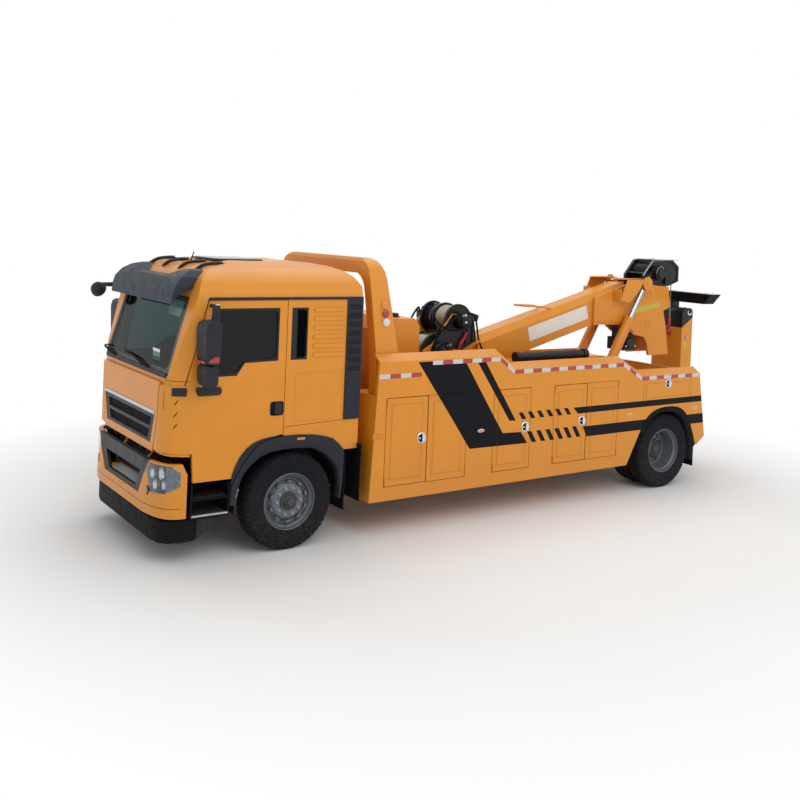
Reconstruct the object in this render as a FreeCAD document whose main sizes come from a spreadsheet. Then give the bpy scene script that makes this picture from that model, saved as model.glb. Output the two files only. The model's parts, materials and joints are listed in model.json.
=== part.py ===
import FreeCAD, Part
import math
import os
import re

import Sketcher

# Tow truck, millimetres.  Working axes: X across (driver's side +X), y back from
# the bumper front, z up from the ground.  Every sub-part's Placement slides it
# by half the overall length, so the origin is the bottom centre of the truck.

os.makedirs("parts", exist_ok=True)
doc = FreeCAD.newDocument("tow_truck")

SIZES = {
    # overall
    "wheelbase": 6000,
    "drawn_wheelbase": 6000,
    "front_overhang": 1487,
    "rear_reach": 1653,
    "body_width": 2500,
    "drawn_body_width": 2500,
    "cab_half_width": 1147,
    # wheels
    "tyre_radius": 530,
    "rim_radius": 297,
    "front_tyre_width": 280,
    "rear_tyre_width": 260,
    "twin_gap": 60,
    "front_wheel_x": 1023,
    "rear_wheel_x": 936,
    "kingpin_x": 850,
    "kingpin_radius": 28,
    "hand_hole_radius": 22,
    "spindle_radius": 40,
    "axle_radius": 90,
    # frame
    "rail_inner": 340,
    "rail_outer": 420,
    "rail_front": 300,
    "rail_bottom": 700,
    "rail_top": 980,
    # cab
    "cab_skin": 40,
    "cab_floor": 1290,
    "tilt_pin_y": 150,
    "tilt_pin_z": 900,
    "bumper_skin": 50,
    "bumper_bottom": 500,
    "bumper_top": 1060,
    # body
    "locker_inner": 700,
    "side_skin": 35,
    "deck_top": 1220,
    "locker_top": 1620,
    "door_thick": 28,
    # boom
    "boom_pivot_y": 4600,
    "boom_pivot_z": 1840,
    "boom_tilt": 15,
    "boom_half_width": 200,
    "boom_half_height": 220,
    "boom_length": 3200,
    "boom_plate": 40,
    "boom_pin_radius": 40,
    # lift cylinders
    "lift_base_y": 7060,
    "lift_base_z": 1360,
    "lift_eye_y": 7950,
    "lift_eye_z": 2860,
    "lift_gap": 85,
    "barrel_radius": 75,
    "barrel_length": 1150,
    "rod_radius": 38,
    "eye_half_width": 39,
    "rod_length": 1600,
    # underlift
    "fold_pin_y": 9015,
    "fold_pin_z": 700,
    "sleeve_half_width": 300,
    "sleeve_wall": 45,
    "crossbar_half": 840,
    # winches
    "drum_radius": 130,
    "flange_radius": 215,
    "pin_play": 0.3,
}

sheet = doc.addObject("Spreadsheet::Sheet", "Size")
for row, (word, value) in enumerate(SIZES.items(), 1):
    sheet.set(f"A{row}", word)
    sheet.set(f"B{row}", str(value))
    sheet.setAlias(f"B{row}", word)
doc.recompute()
reader = doc.addObject("App::FeaturePython", "reader")

WORDS = re.compile(r"\b(" + "|".join(sorted(SIZES, key=len, reverse=True)) + r")\b")


def bound(value):
    """The expression of a size: bare size names become cells of the sheet."""
    return WORDS.sub(r"Size.\1", str(value))


def number(value):
    return float(reader.evalExpression(bound(value)))


def minus(value):
    return f"-({value})"


# ---------------------------------------------------------------- mappings
STRETCH_FRONT = 2450
STRETCH_REAR = 6690
MIDDLE_AXLE = "(front_overhang + wheelbase)"
SHIFT = "(-(front_overhang + wheelbase + rear_reach) / 2)"
FRONT_AXLE = "front_overhang"
EDGE = "(body_width / 2)"
WIDER = "(body_width - drawn_body_width) / 2"


def at(y):
    """A station of the body; the length between the axles takes up the wheelbase."""
    share = min(max((y - STRETCH_FRONT) / (STRETCH_REAR - STRETCH_FRONT), 0), 1)
    if share == 0:
        return f"{y}"
    return f"({y} + (wheelbase - drawn_wheelbase) * {share:.4f})"


def along(points):
    return [(at(y), z) for y, z in points]


BOOM_PIN = "(boom_pivot_y + (wheelbase - drawn_wheelbase) * 0.507)"
LIFT_BASE = "(lift_base_y + wheelbase - drawn_wheelbase)"
LIFT_EYE = "(lift_eye_y + wheelbase - drawn_wheelbase)"
LIFT_X = "(boom_half_width + boom_plate + lift_gap)"
FOLD_PIN = "(fold_pin_y + wheelbase - drawn_wheelbase)"


# ---------------------------------------------------------------- solids
PLANE = {"side": "YZ_Plane", "front": "XZ_Plane", "plan": "XY_Plane"}


def flat_sketch(body, name, plane, points):
    sketch = body.newObject("Sketcher::SketchObject", name + "_sketch")
    origin = [f for f in body.Origin.OriginFeatures if f.Role == PLANE[plane]][0]
    sketch.AttachmentSupport = [(origin, "")]
    sketch.MapMode = "FlatFace"
    values = [(number(a), number(b)) for a, b in points]
    corners = [FreeCAD.Vector(a, b, 0) for a, b in values]
    count = len(corners)
    lines = [Part.LineSegment(corners[i], corners[(i + 1) % count]) for i in range(count)]
    sketch.addGeometry(lines)
    rules = [Sketcher.Constraint("Coincident", i, 2, (i + 1) % count, 1) for i in range(count)]
    links = []
    for i, (pair, value) in enumerate(zip(points, values)):
        for kind, size, now in zip(("DistanceX", "DistanceY"), pair, value):
            rules.append(Sketcher.Constraint(kind, -1, 1, i, 1, now))
            links.append((len(rules) - 1, size))
    sketch.addConstraint(rules)
    for index, size in links:
        if not isinstance(size, (int, float)):
            sketch.setExpression(f"Constraints[{index}]", bound(size))
    return sketch


def prism(name, plane, points, low, high):
    """A padded outline.  Points are (y, z) on side, (x, z) on front, (x, y) on plan."""
    body = doc.addObject("PartDesign::Body", name)
    sketch = flat_sketch(body, name, plane, points)
    offset = minus(high) if plane == "front" else low
    sketch.setExpression("AttachmentOffset.Base.z", bound(offset))
    pad = body.newObject("PartDesign::Pad", name + "_pad")
    pad.Profile = sketch
    pad.setExpression("Length", bound(f"({high}) - ({low})"))
    body.Tip = pad
    return body


def spun(name, points, x, y, z):
    """An (x, radius) outline turned about an axle that runs across the truck."""
    body = doc.addObject("PartDesign::Body", name)
    sketch = flat_sketch(body, name, "front", points)
    turn = body.newObject("PartDesign::Revolution", name + "_turn")
    turn.Profile = sketch
    turn.ReferenceAxis = (sketch, ["H_Axis"])
    turn.Angle = 360
    body.Tip = turn
    put(body, x, y, z)
    return body


def put(thing, x, y, z):
    for axis, value in zip("xyz", (x, y, z)):
        thing.setExpression(f"Placement.Base.{axis}", bound(value))


def block(name, x, y, z):
    """A box between (low, high) pairs across, along and up."""
    box = doc.addObject("Part::Box", name)
    for side, (low, high) in zip(("Length", "Width", "Height"), (x, y, z)):
        box.setExpression(side, bound(f"({high}) - ({low})"))
    put(box, x[0], y[0], z[0])
    return box


TURNS = {"X": ((0, 1, 0), 90), "Y": ((1, 0, 0), -90), "Z": ((0, 0, 1), 0)}


def bar(name, axis, first, second, radius, low, high):
    """A round bar along one axis; first and second are its other two places."""
    rod = doc.addObject("Part::Cylinder", name)
    direction, angle = TURNS[axis]
    rotation = FreeCAD.Rotation(FreeCAD.Vector(*direction), angle)
    rod.Placement = FreeCAD.Placement(FreeCAD.Vector(), rotation)
    rod.setExpression("Radius", bound(radius))
    rod.setExpression("Height", bound(f"({high}) - ({low})"))
    places = {"X": (low, first, second), "Y": (first, low, second), "Z": (first, second, low)}
    put(rod, *places[axis])
    return rod


def join(name, shapes):
    fuse = doc.addObject("Part::MultiFuse", name)
    fuse.Shapes = shapes
    return fuse


def cut(name, base, tools):
    result = doc.addObject("Part::Cut", name)
    result.Base = base
    result.Tool = tools[0] if len(tools) == 1 else join(name + "_tools", tools)
    return result


def meet(name, shapes):
    result = doc.addObject("Part::MultiCommon", name)
    result.Shapes = shapes
    return result


def several(name, shapes):
    group = doc.addObject("Part::Compound", name)
    group.Links = shapes
    return group


NODES = []


def node(name, thing):
    """Names a finished sub-part and slides it so the truck stands about the origin."""
    thing.Label = name
    thing.setExpression("Placement.Base.y", bound(SHIFT))
    NODES.append(thing)


def sided(sign, low, high):
    """A (low, high) pair across the truck on the side of the sign."""
    return (low, high) if sign > 0 else (minus(high), minus(low))


SIDES = (("left", 1), ("right", -1))


# ---------------------------------------------------------------- frame
def build_frame():
    parts = []
    for side, sign in SIDES:
        x = sided(sign, "rail_inner", "rail_outer")
        parts.append(block(f"rail_{side}", x, ("rail_front", at(8350)),
                           ("rail_bottom", "rail_top")))
        x = sided(sign, "rail_outer", "rail_outer + 30")
        lug = block(f"tilt_lug_{side}", x, ("tilt_pin_y - 55", 520),
                    ("tilt_pin_z - 140", "tilt_pin_z + 60"))
        bore = bar(f"tilt_bore_{side}", "X", "tilt_pin_y", "tilt_pin_z", "21 + pin_play", *x)
        parts.append(cut(f"tilt_ear_{side}", lug, [bore]))
        x = sided(sign, "rail_inner - 30", "rail_inner")
        plate = block(f"fold_lug_{side}", x, (at(8100), at(9130)), (500, "rail_top"))
        bore = bar(f"fold_bore_{side}", "X", FOLD_PIN, "fold_pin_z", "40 + pin_play", *x)
        parts.append(cut(f"fold_ear_{side}", plate, [bore]))
    beams = [("front", 480, 560), ("gearbox", 2300, 2400), ("second", 4300, 4400),
             ("third", 6100, 6200)]
    for name, low, high in beams:
        across = ("-rail_inner", "rail_inner")
        floor = 880 if name == "front" else "rail_bottom + 20"
        parts.append(block(f"cross_{name}", across, (at(low), at(high)), (floor, "rail_top - 20")))
    across = ("-rail_inner + 30", "rail_inner - 30")
    parts.append(block("cross_tail", across, (at(8400), at(8700)), (620, 900)))
    node("chassis_frame", join("chassis_frame", parts))


def build_engine():
    engine = block("engine_solid", ("-rail_inner", "rail_inner"), (650, 1700), (600, 1180))
    node("engine_block", several("engine_block", [engine]))


def build_front_axle():
    y = ("front_overhang - 50", "front_overhang + 50")
    parts = [block("front_beam", ("-kingpin_x + 75", "kingpin_x - 75"), y, (440, 530)),
             block("front_beam_end", ("-kingpin_x + 38", "kingpin_x - 38"), y, (472, 530))]
    for side, sign in SIDES:
        x = "kingpin_x" if sign > 0 else "-kingpin_x"
        boss = bar(f"king_boss_{side}", "Z", x, FRONT_AXLE, 45, 470, 590)
        hole = bar(f"king_hole_{side}", "Z", x, FRONT_AXLE, "kingpin_radius + pin_play", 460, 600)
        parts.append(cut(f"king_eye_{side}", boss, [hole]))
        x = sided(sign, "rail_inner", "rail_outer")
        parts.append(block(f"front_spring_{side}", x,
                           ("front_overhang - 650", "front_overhang + 650"), (530, 590)))
        for end, low in (("front", -650), ("rear", 590)):
            y = (f"front_overhang + {low}", f"front_overhang + {low + 60}")
            parts.append(block(f"front_hanger_{side}_{end}", x, y, (560, "rail_bottom")))
    node("front_axle", join("front_axle", parts))


def build_rear_axle():
    centre = MIDDLE_AXLE
    inner = "(rear_wheel_x - rear_tyre_width - twin_gap / 2 - 30)"
    seat = "tyre_radius + axle_radius"
    parts = [
        bar("axle_tube", "X", centre, "tyre_radius", "axle_radius", minus(inner), inner),
        bar("axle_shaft", "X", centre, "tyre_radius", 70, "-rear_wheel_x - 115", "rear_wheel_x + 115"),
        bar("differential", "X", centre, "tyre_radius", 210, -170, 170),
        bar("propshaft", "Y", 0, 640, 45, 1700, f"{centre} - 165"),
    ]
    for side, sign in SIDES:
        x = sided(sign, "rail_inner", "rail_outer")
        parts.append(block(f"rear_spring_{side}", x, (f"{centre} - 700", f"{centre} + 700"),
                           (f"{seat} - 15", f"{seat} + 45")))
        for end, low in (("front", -700), ("rear", 640)):
            y = (f"{centre} + {low}", f"{centre} + {low + 60}")
            parts.append(block(f"rear_hanger_{side}_{end}", x, y, (f"{seat} + 20", "rail_bottom")))
    node("rear_axle", join("rear_axle", parts))


# ---------------------------------------------------------------- wheels
def tyre_outline(sign, middle, width):
    half = f"({width}) / 2"
    steps = [(-0.75, 0, 0), (-1, 43, 0), (-1, 0, 60), (-0.84, 0, 15), (-0.68, 0, 0), (0.68, 0, 0),
             (0.84, 0, 15), (1, 0, 60), (1, 43, 0), (0.75, 0, 0)]
    points = []
    for index, (share, above_rim, below_tread) in enumerate(steps):
        x = f"{sign} * (({middle}) + ({half}) * {share})"
        on_rim = index in (0, 1, 8, 9)
        radius = f"rim_radius + {above_rim}" if on_rim else f"tyre_radius - {below_tread}"
        points.append((x, radius))
    return points


FRONT_RIM = [(-105, 0), (110, 0), (110, -11), (85, -19), (60, -35), (78, -72), (98, -127),
             (98, -182), (128, -192), (128, None), (90, None), (90, "bore"), (-60, "bore"),
             (-60, -197), (60, -197), (76, -182), (76, -129), (56, -85), (36, -42), (36, -21),
             (-105, -15)]
REAR_RIM = [(-280, 0), (280, 0), (280, -14), (30, -22), (30, -117), (45, -147), (45, -177),
            (165, -192), (165, None), (120, None), (120, "bore"), (-120, "bore"), (-120, -187),
            (0, -187), (5, -147), (5, -22), (-280, -14)]


def rim_outline(sign, rows, bore):
    points = []
    for x, step in rows:
        radius = {"bore": bore, None: 0}.get(step, f"rim_radius + {step}")
        points.append((sign * x, radius))
    return points


def hand_holes(name, sign, centre_y, circle, low, high):
    """Ten round holes in a ring through a wheel disc."""
    holes = []
    for index in range(10):
        turn = math.radians(36 * index)
        y = f"{centre_y} + ({circle}) * {math.cos(turn):.4f}"
        z = f"tyre_radius + ({circle}) * {math.sin(turn):.4f}"
        holes.append(bar(f"{name}_{index}", "X", y, z, "hand_hole_radius", *sided(sign, low, high)))
    return holes


def build_wheels():
    for side, sign in SIDES:
        x = f"{sign} * front_wheel_x"
        place = (x, FRONT_AXLE, "tyre_radius")
        tyre = spun(f"front_ring_{side}", tyre_outline(sign, 0, "front_tyre_width"), *place)
        node(f"tyre_front_{side}", several(f"front_tyre_{side}", [tyre]))
        disc = spun(f"front_disc_{side}", rim_outline(sign, FRONT_RIM, "spindle_radius + pin_play"),
                    *place)
        holes = hand_holes(f"front_hole_{side}", sign, FRONT_AXLE, "rim_radius - 92",
                           "front_wheel_x + 30", "front_wheel_x + 115")
        node(f"rim_front_{side}", cut(f"front_rim_{side}", disc, holes))
        place = (f"{sign} * rear_wheel_x", MIDDLE_AXLE, "tyre_radius")
        rings = []
        for twin, way in (("inner", -1), ("outer", 1)):
            middle = f"{way} * (rear_tyre_width + twin_gap) / 2"
            outline = tyre_outline(sign, middle, "rear_tyre_width")
            rings.append(spun(f"rear_ring_{side}_{twin}", outline, *place))
        node(f"tyre_rear_{side}", several(f"rear_tyre_{side}", rings))
        disc = spun(f"rear_disc_{side}", rim_outline(sign, REAR_RIM, "70 + pin_play"), *place)
        holes = hand_holes(f"rear_hole_{side}", sign, MIDDLE_AXLE, "rim_radius - 70",
                           "rear_wheel_x - 10", "rear_wheel_x + 45")
        node(f"rim_rear_{side}", cut(f"rear_rim_{side}", disc, holes))


def build_knuckles():
    for side, sign in SIDES:
        pin_x = f"{sign} * kingpin_x"
        arms = sided(sign, "kingpin_x - 40", "kingpin_x + 85")
        plate = sided(sign, "kingpin_x + 55", "kingpin_x + 85")
        y = ("front_overhang - 45", "front_overhang + 45")
        parts = [
            bar(f"kingpin_{side}", "Z", pin_x, FRONT_AXLE, "kingpin_radius", 445, 615),
            block(f"arm_low_{side}", arms, y, (440, 465)),
            block(f"arm_top_{side}", arms, y, (595, 620)),
            block(f"knuckle_plate_{side}", plate, y, (440, 620)),
        ]
        reach = sided(sign, "kingpin_x + 60", "front_wheel_x + 85")
        parts.append(bar(f"spindle_{side}", "X", FRONT_AXLE, "tyre_radius", "spindle_radius", *reach))
        node(f"knuckle_{side}", join(f"knuckle_{side}", parts))


# ---------------------------------------------------------------- front of the chassis
# x and y of the bumper's face, and how its skin thickness runs in x and in y there
BUMPER_PLAN = [(1147, 300, 1, 0), (1147, 240, 1, 0.4), (1122, 168, 0.9, 0.5),
               (1080, 110, 0.8, 0.6), (1000, 62, 0.5, 0.85), (900, 30, 0.3, 1), (700, 0, 0, 1)]


def bumper_ring(name, near, far, low, high):
    """The bumper's plan between two depths behind its face."""
    def outline(depth):
        half = [(f"{x} - {across} * {depth}", f"{y} + {back} * {depth}")
                for x, y, across, back in BUMPER_PLAN]
        return half + [(minus(x), y) for x, y in reversed(half)]
    outer = prism(name + "_outer", "plan", outline(near), low, high)
    inner = prism(name + "_inner", "plan", outline(far), f"{low} - 1", f"{high} + 1")
    return cut(name, outer, [inner])


GRILLE = [(-550, 670), (550, 670), (790, 1035), (-790, 1035)]
LAMP = [(812, 735), (1060, 755), (1112, 1038), (815, 1040), (750, 955), (795, 860)]
BUMPER_END = [(240, 1070), (310, 930), (340, 930), (340, 1090), (240, 1090)]


def build_bumper():
    ring = bumper_ring("bumper_ring", 0, "bumper_skin", "bumper_bottom", "bumper_top")
    tools = [prism("grille_opening", "front", GRILLE, -20, 100),
             prism("bumper_end_slope", "side", BUMPER_END, -1200, 1200)]
    for side, sign in SIDES:
        outline = [(sign * x, z) for x, z in LAMP]
        tools.append(prism(f"lamp_opening_{side}", "front", outline, -20, 240))
    stays = []
    for side, sign in SIDES:
        x = sided(sign, "rail_outer + 5", "rail_outer + 30")
        stays.append(block(f"bumper_stay_{side}", x, ("bumper_skin", 300), (560, "tilt_pin_z - 140")))
    node("front_bumper", join("front_bumper", [cut("bumper_face", ring, tools)] + stays))

    plate = prism("grille_plate", "front", GRILLE, 12, "bumper_skin")
    mouth = prism("grille_mouth", "front", [(-430, 712), (430, 712), (560, 905), (-560, 905)], 0, 100)
    node("lower_grille", cut("lower_grille", plate, [mouth]))

    lamps = []
    for side, sign in SIDES:
        outline = [(sign * x, z) for x, z in LAMP]
        body = prism(f"lamp_body_{side}", "front", outline, -20, 240)
        shell = bumper_ring(f"lamp_ring_{side}", 8, 90, 600, "bumper_top")
        lamps.append(meet(f"headlamp_{side}", [body, shell]))
    node("headlamps", several("headlamps", lamps))

    profile = [(100, 300), (100, 460), (600, 460), (600, 300), (500, 230), (200, 230)]
    plan = [(-1000, 620), (-1000, 290), (-950, 190), (-850, 128), (-700, 90), (700, 90),
            (850, 128), (950, 190), (1000, 290), (1000, 620)]
    parts = [meet("underrun_box", [prism("underrun", "side", profile, -1000, 1000),
                                   prism("underrun_plan", "plan", plan, 200, 500)])]
    for side, sign in SIDES:
        x = sided(sign, "rail_inner", "rail_outer")
        parts.append(block(f"underrun_arm_{side}", x, (250, 600), (455, "rail_bottom")))
    node("underrun_beam", join("underrun_beam", parts))


def build_steps():
    wells = []
    for side, sign in SIDES:
        well = block(f"step_well_{side}", sided(sign, 760, 1130), (350, 780), (470, 830))
        upper = block(f"step_upper_{side}", sided(sign, 800, 1200), (370, 760), (680, 900))
        lower = block(f"step_lower_{side}", sided(sign, 860, 1200), (370, 760), (500, 660))
        hollow = cut(f"step_cut_{side}", well, [upper, lower])
        arm = block(f"step_arm_{side}", sided(sign, "rail_outer", 765), (560, 640), (720, 800))
        wells.append(join(f"steps_{side}", [hollow, arm]))
    node("entry_steps", several("entry_steps", wells))


def build_mudflaps():
    flaps = []
    for side, sign in SIDES:
        flap = block(f"front_flap_{side}", sided(sign, 850, 1150), (2165, 2180), (350, 1000))
        stay = block(f"flap_stay_{side}", sided(sign, 980, 1020), (2180, at(2474.3)), (900, 940))
        flaps.append(join(f"front_flaps_{side}", [flap, stay]))
        edge = along([(8115, 250), (8130, 250), (8130, 613.33), (8115, 633.33)])
        flaps.append(prism(f"rear_flap_{side}", "side", edge, *sided(sign, 720, 1230)))
    node("mudflaps", several("mudflaps", flaps))


# ---------------------------------------------------------------- body
SIDE_EDGE = [(2450, 410), (6690, 410), (6950, 870), (7090, 1030), (7250, 1120), (7490, 1150),
             (7730, 1120), (7900, 1000), (8050, 720), (8170, 560), (8340, 680), (8180, 1620),
             (6940, 1630), (6550, 1840), (4580, 1840), (4320, 2020), (2530, 2020)]
LOCKERS = [("front", 2600, 3860, 470), ("middle", 4210, 4910, 470), ("main", 5230, 6500, 470),
           ("arch", 6960, 8020, 1230)]
# name, front, rear, bottom, top of each hinged locker door
LOCKER_DOORS = [("one", 2640, 3240, 570, 1600), ("two", 4250, 4870, 570, 1600),
                ("three", 5270, 5870, 570, 1600), ("four", 6980, 8000, 1260, 1580)]
DOOR_GAP = 8


TOP_EDGE = [(2530, 2020), (4320, 2020), (4580, 1840), (6550, 1840), (6940, 1630), (8170, 1621)]


def top_rail(name, sign):
    """The inclined rail that follows the stepped top edge of a body side."""
    body = doc.addObject("PartDesign::Body", name)
    sections = []
    for key, x, lift in (("outer", EDGE, 0), ("inner", f"({EDGE} - 120)", 80)):
        points = [(y, z + lift) for y, z in along(TOP_EDGE)]
        points += [(y, z + lift - 30) for y, z in reversed(along(TOP_EDGE))]
        sketch = flat_sketch(body, f"{name}_{key}", "side", points)
        sketch.setExpression("AttachmentOffset.Base.z", bound(f"{sign} * {x}"))
        sections.append(sketch)
    loft = body.newObject("PartDesign::AdditiveLoft", name + "_loft")
    loft.Profile = sections[0]
    loft.Sections = [sections[1]]
    loft.Ruled = True
    body.Tip = loft
    return body


def build_body():
    parts = []
    tools = []
    rails = []
    for side, sign in SIDES:
        x = sided(sign, "locker_inner", EDGE)
        parts.append(prism(f"body_side_{side}", "side", along(SIDE_EDGE), *x))
        rails.append(top_rail(f"top_rail_{side}", sign))
        x = sided(sign, "locker_inner - 10", f"{EDGE} - 50")
        tools.append(block(f"body_well_{side}", x, (2300, at(8400)), ("locker_top", 2100)))
        cavity = sided(sign, "locker_inner + 40", f"{EDGE} - side_skin")
        through = sided(sign, f"{EDGE} - side_skin - 10", f"{EDGE} + 10")
        for name, low, high, floor in LOCKERS:
            tools.append(block(f"locker_{name}_{side}", cavity, (at(low), at(high)),
                               (floor, "locker_top - 20")))
        for name, low, high, floor, top in LOCKER_DOORS:
            tools.append(block(f"opening_{name}_{side}", through, (at(low), at(high)), (floor, top)))
        x = sided(sign, "rail_inner", "rail_outer")
        parts.append(block(f"runner_{side}", x, (2500, at(8160)), ("rail_top", "deck_top - 40")))
        for name, low in (("in", f"{LIFT_X} - 80"), ("out", f"{LIFT_X} + 40")):
            x = sided(sign, low, f"{low} + 40")
            lug = block(f"lift_lug_{name}_{side}", x, (f"{LIFT_BASE} - 100", f"{LIFT_BASE} + 100"),
                        ("deck_top", "lift_base_z + 70"))
            bore = bar(f"lift_bore_{name}_{side}", "X", LIFT_BASE, "lift_base_z", "35 + pin_play", *x)
            parts.append(cut(f"lift_ear_{name}_{side}", lug, [bore]))
    inner = ("-locker_inner", "locker_inner")
    parts.append(block("deck", inner, (2450, at(8180)), ("deck_top - 40", "deck_top")))
    parts.append(block("headboard", inner, (2450, 2480), ("deck_top", "locker_top")))
    parts.append(block("tailboard", inner, (at(8140), at(8180)), ("deck_top", "locker_top")))
    solid = join("body_solid", parts)
    node("body_shell", join("body_shell", [cut("body_hollow", solid, tools)] + rails))


def build_locker_doors():
    for side, sign in SIDES:
        outer = sided(sign, f"{EDGE} - door_thick", EDGE)
        for name, low, high, floor, top in LOCKER_DOORS:
            y = (f"{at(low)} + {DOOR_GAP}", f"{at(high)} - {DOOR_GAP}")
            z = (floor + DOOR_GAP, top - DOOR_GAP)
            panel = block(f"panel_{name}_{side}", outer, y, z)
            pin_x = f"{sign} * ({EDGE} - 14)"
            if name == "four":
                pins = [bar(f"pin_{name}_{side}_{end}", "Y", pin_x, floor + DOOR_GAP + 10, 7, *span)
                        for end, span in (("front", (at(low), y[0])), ("rear", (y[1], at(high))))]
            else:
                hinge = f"{at(low)} + {DOOR_GAP + 10}"
                pins = [bar(f"pin_{name}_{side}_low", "Z", pin_x, hinge, 7, floor, z[0]),
                        bar(f"pin_{name}_{side}_top", "Z", pin_x, hinge, 7, z[1], top)]
            node(f"locker_door_{name}_{side}", join(f"locker_door_{name}_{side}", [panel] + pins))


def build_arch():
    half = [(950, 1620), (1100, 1620), (1100, 2960), (1078, 3050), (1020, 3122), (940, 3175),
            (850, 3200)]
    inner = [(950, 2860), (930, 2930), (885, 2985), (820, 3020)]
    frame = half + [(-x, z) for x, z in half[::-1]] + [(-x, z) for x, z in inner] + inner[::-1]
    lean = [(2580, 1620), (2880, 1620), (2880, 2110), (2650, 3100), (2630, 3165), (2590, 3200),
            (2475, 3200), (2447, 3160), (2440, 3000), (2560, 2150)]
    shape = prism("arch_front", "front", frame, 2400, 2920)
    strip = prism("arch_lean", "side", along(lean), -1150, 1150)
    node("light_arch", meet("light_arch", [shape, strip]))


def build_signal_lamps():
    lamps = []
    for side, sign in SIDES:
        edge = along([(2640, 2390), (2730, 2390), (2690, 2730), (2600, 2730)])
        lamps.append(prism(f"arch_lamp_{side}", "side", edge, *sided(sign, 1100, 1125)))
        edge = along([(8328.2, 750), (8368, 750), (8343, 900), (8302.7, 900)])
        lamps.append(prism(f"tail_lamp_{side}", "side", edge,
                           *sided(sign, f"{EDGE} - 320", f"{EDGE} - 60")))
    node("signal_lamps", several("signal_lamps", lamps))


def build_tank():
    edge = along([(2960, 1220), (3500, 1220), (3500, 2350), (3420, 2450), (3060, 2450), (2960, 2300)])
    node("hydraulic_tank", prism("hydraulic_tank", "side", edge, -650, 650))


# ---------------------------------------------------------------- winches and boom
STAND = [(3800, 1220), (3800, 2000), (3950, 2080), (4250, 2460), (4490, 2460), (4560, 2100),
         (4760, 1960), (4760, 1220)]
WINCHES = [("low", 4020, 1990), ("high", 4380, 2370)]


def build_stand():
    plates = []
    for side, sign in SIDES:
        x = sided(sign, 300, 340)
        plate = prism(f"stand_plate_{side}", "side", along(STAND), *x)
        bore = bar(f"stand_bore_{side}", "X", BOOM_PIN, "boom_pivot_z", "boom_pin_radius + pin_play",
                   *x)
        plates.append(cut(f"stand_side_{side}", plate, [bore]))
    plates.append(block("stand_cross", (-300, 300), (at(3800), at(3840)), (1220, 1650)))
    node("winch_stand", join("winch_stand", plates))
    winches = []
    for name, y, z in WINCHES:
        parts = [bar(f"drum_{name}", "X", at(y), z, "drum_radius", -300, 300)]
        for side, sign in SIDES:
            parts.append(bar(f"flange_{name}_{side}", "X", at(y), z, "flange_radius",
                             *sided(sign, 265, 290)))
        parts.append(bar(f"winch_motor_{name}", "X", at(y), z, 110, 340, 430))
        neck = bar(f"winch_neck_{name}", "X", at(y), z, 60, 300, 340)
        hole = bar(f"winch_hole_{name}", "X", at(y), z, 60, 300, 340)
        winches.append((join(f"winch_{name}", parts + [neck]), hole))
    return winches


def build_boom():
    tube = prism("boom_tube", "front", [
        ("-boom_half_width", "-boom_half_height"), ("boom_half_width", "-boom_half_height"),
        ("boom_half_width", "boom_half_height - 90"), ("boom_half_width - 80", "boom_half_height"),
        ("-boom_half_width + 80", "boom_half_height"), ("-boom_half_width", "boom_half_height - 90")],
        -150, "boom_length")
    tube.Placement = FreeCAD.Placement(FreeCAD.Vector(), FreeCAD.Rotation(FreeCAD.Vector(1, 0, 0), 15))
    tube.setExpression("Placement.Rotation.Angle", bound("boom_tilt"))
    put(tube, 0, BOOM_PIN, "boom_pivot_z")
    outline = [(6970, 2250), (7600, 2250), (7850, 2080), (8080, 2040), (8150, 1930), (8200, 1750),
               (8650, 1750), (8570, 2200), (8500, 2440), (8660, 2500), (8600, 2820), (8150, 2850),
               (8050, 2930), (7890, 2930), (7820, 2860), (7640, 2850), (6970, 2660)]
    parts = [tube]
    for side, sign in SIDES:
        x = sided(sign, "boom_half_width", "boom_half_width + boom_plate")
        parts.append(prism(f"head_plate_{side}", "side", along(outline), *x))
        x = sided(sign, "boom_half_width + boom_plate", f"{LIFT_X} - eye_half_width - pin_play")
        parts.append(bar(f"rod_boss_{side}", "X", LIFT_EYE, "lift_eye_z", 60, *x))
    inner = ("-boom_half_width", "boom_half_width")
    parts.append(block("head_deck", inner, (at(8100), at(8600)), (2770, 2810)))
    parts.append(block("head_web", inner, (at(8300), at(8340)), (1800, 2770)))
    parts.append(bar("boom_pin", "X", BOOM_PIN, "boom_pivot_z", "boom_pin_radius", -345, 345))
    node("boom", join("boom", parts))


def build_head_winch():
    cheek = [(8050, 2830), (8050, 3000), (8250, 3220), (8700, 3250), (8870, 3130), (8870, 2900),
             (8650, 2830)]
    parts = []
    for side, sign in SIDES:
        parts.append(prism(f"cheek_{side}", "side", along(cheek), *sided(sign, 165, 200)))
        parts.append(bar(f"sheave_{side}", "X", at(8690), 2985, 100, *sided(sign, 95, 145)))
    parts.append(bar("head_drum", "X", at(8330), 3030, 140, -165, 165))
    parts.append(bar("sheave_pin", "X", at(8690), 2985, 30, -165, 165))
    parts.append(block("head_foot", (-200, 200), (at(8100), at(8600)), (2810, 2840)))
    node("head_winch", join("head_winch", parts))


def build_hook():
    hook = [(100, 2260), (100, 2200), (60, 2150), (55, 2090), (90, 2050), (150, 2050),
            (185, 2085), (185, 2130), (160, 2130), (155, 2100), (135, 2085), (105, 2090),
            (95, 2110), (100, 2140), (140, 2195), (140, 2260)]
    y = at(8798)
    parts = [bar("hook_rope", "Z", 120, y, 8, 2250, 2985),
             prism("hook_shape", "front", hook, f"{y} - 18", f"{y} + 18")]
    node("hook", join("hook", parts))


LIFT_LEAN = "-atan2(lift_eye_y - lift_base_y; lift_eye_z - lift_base_z)"


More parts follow.
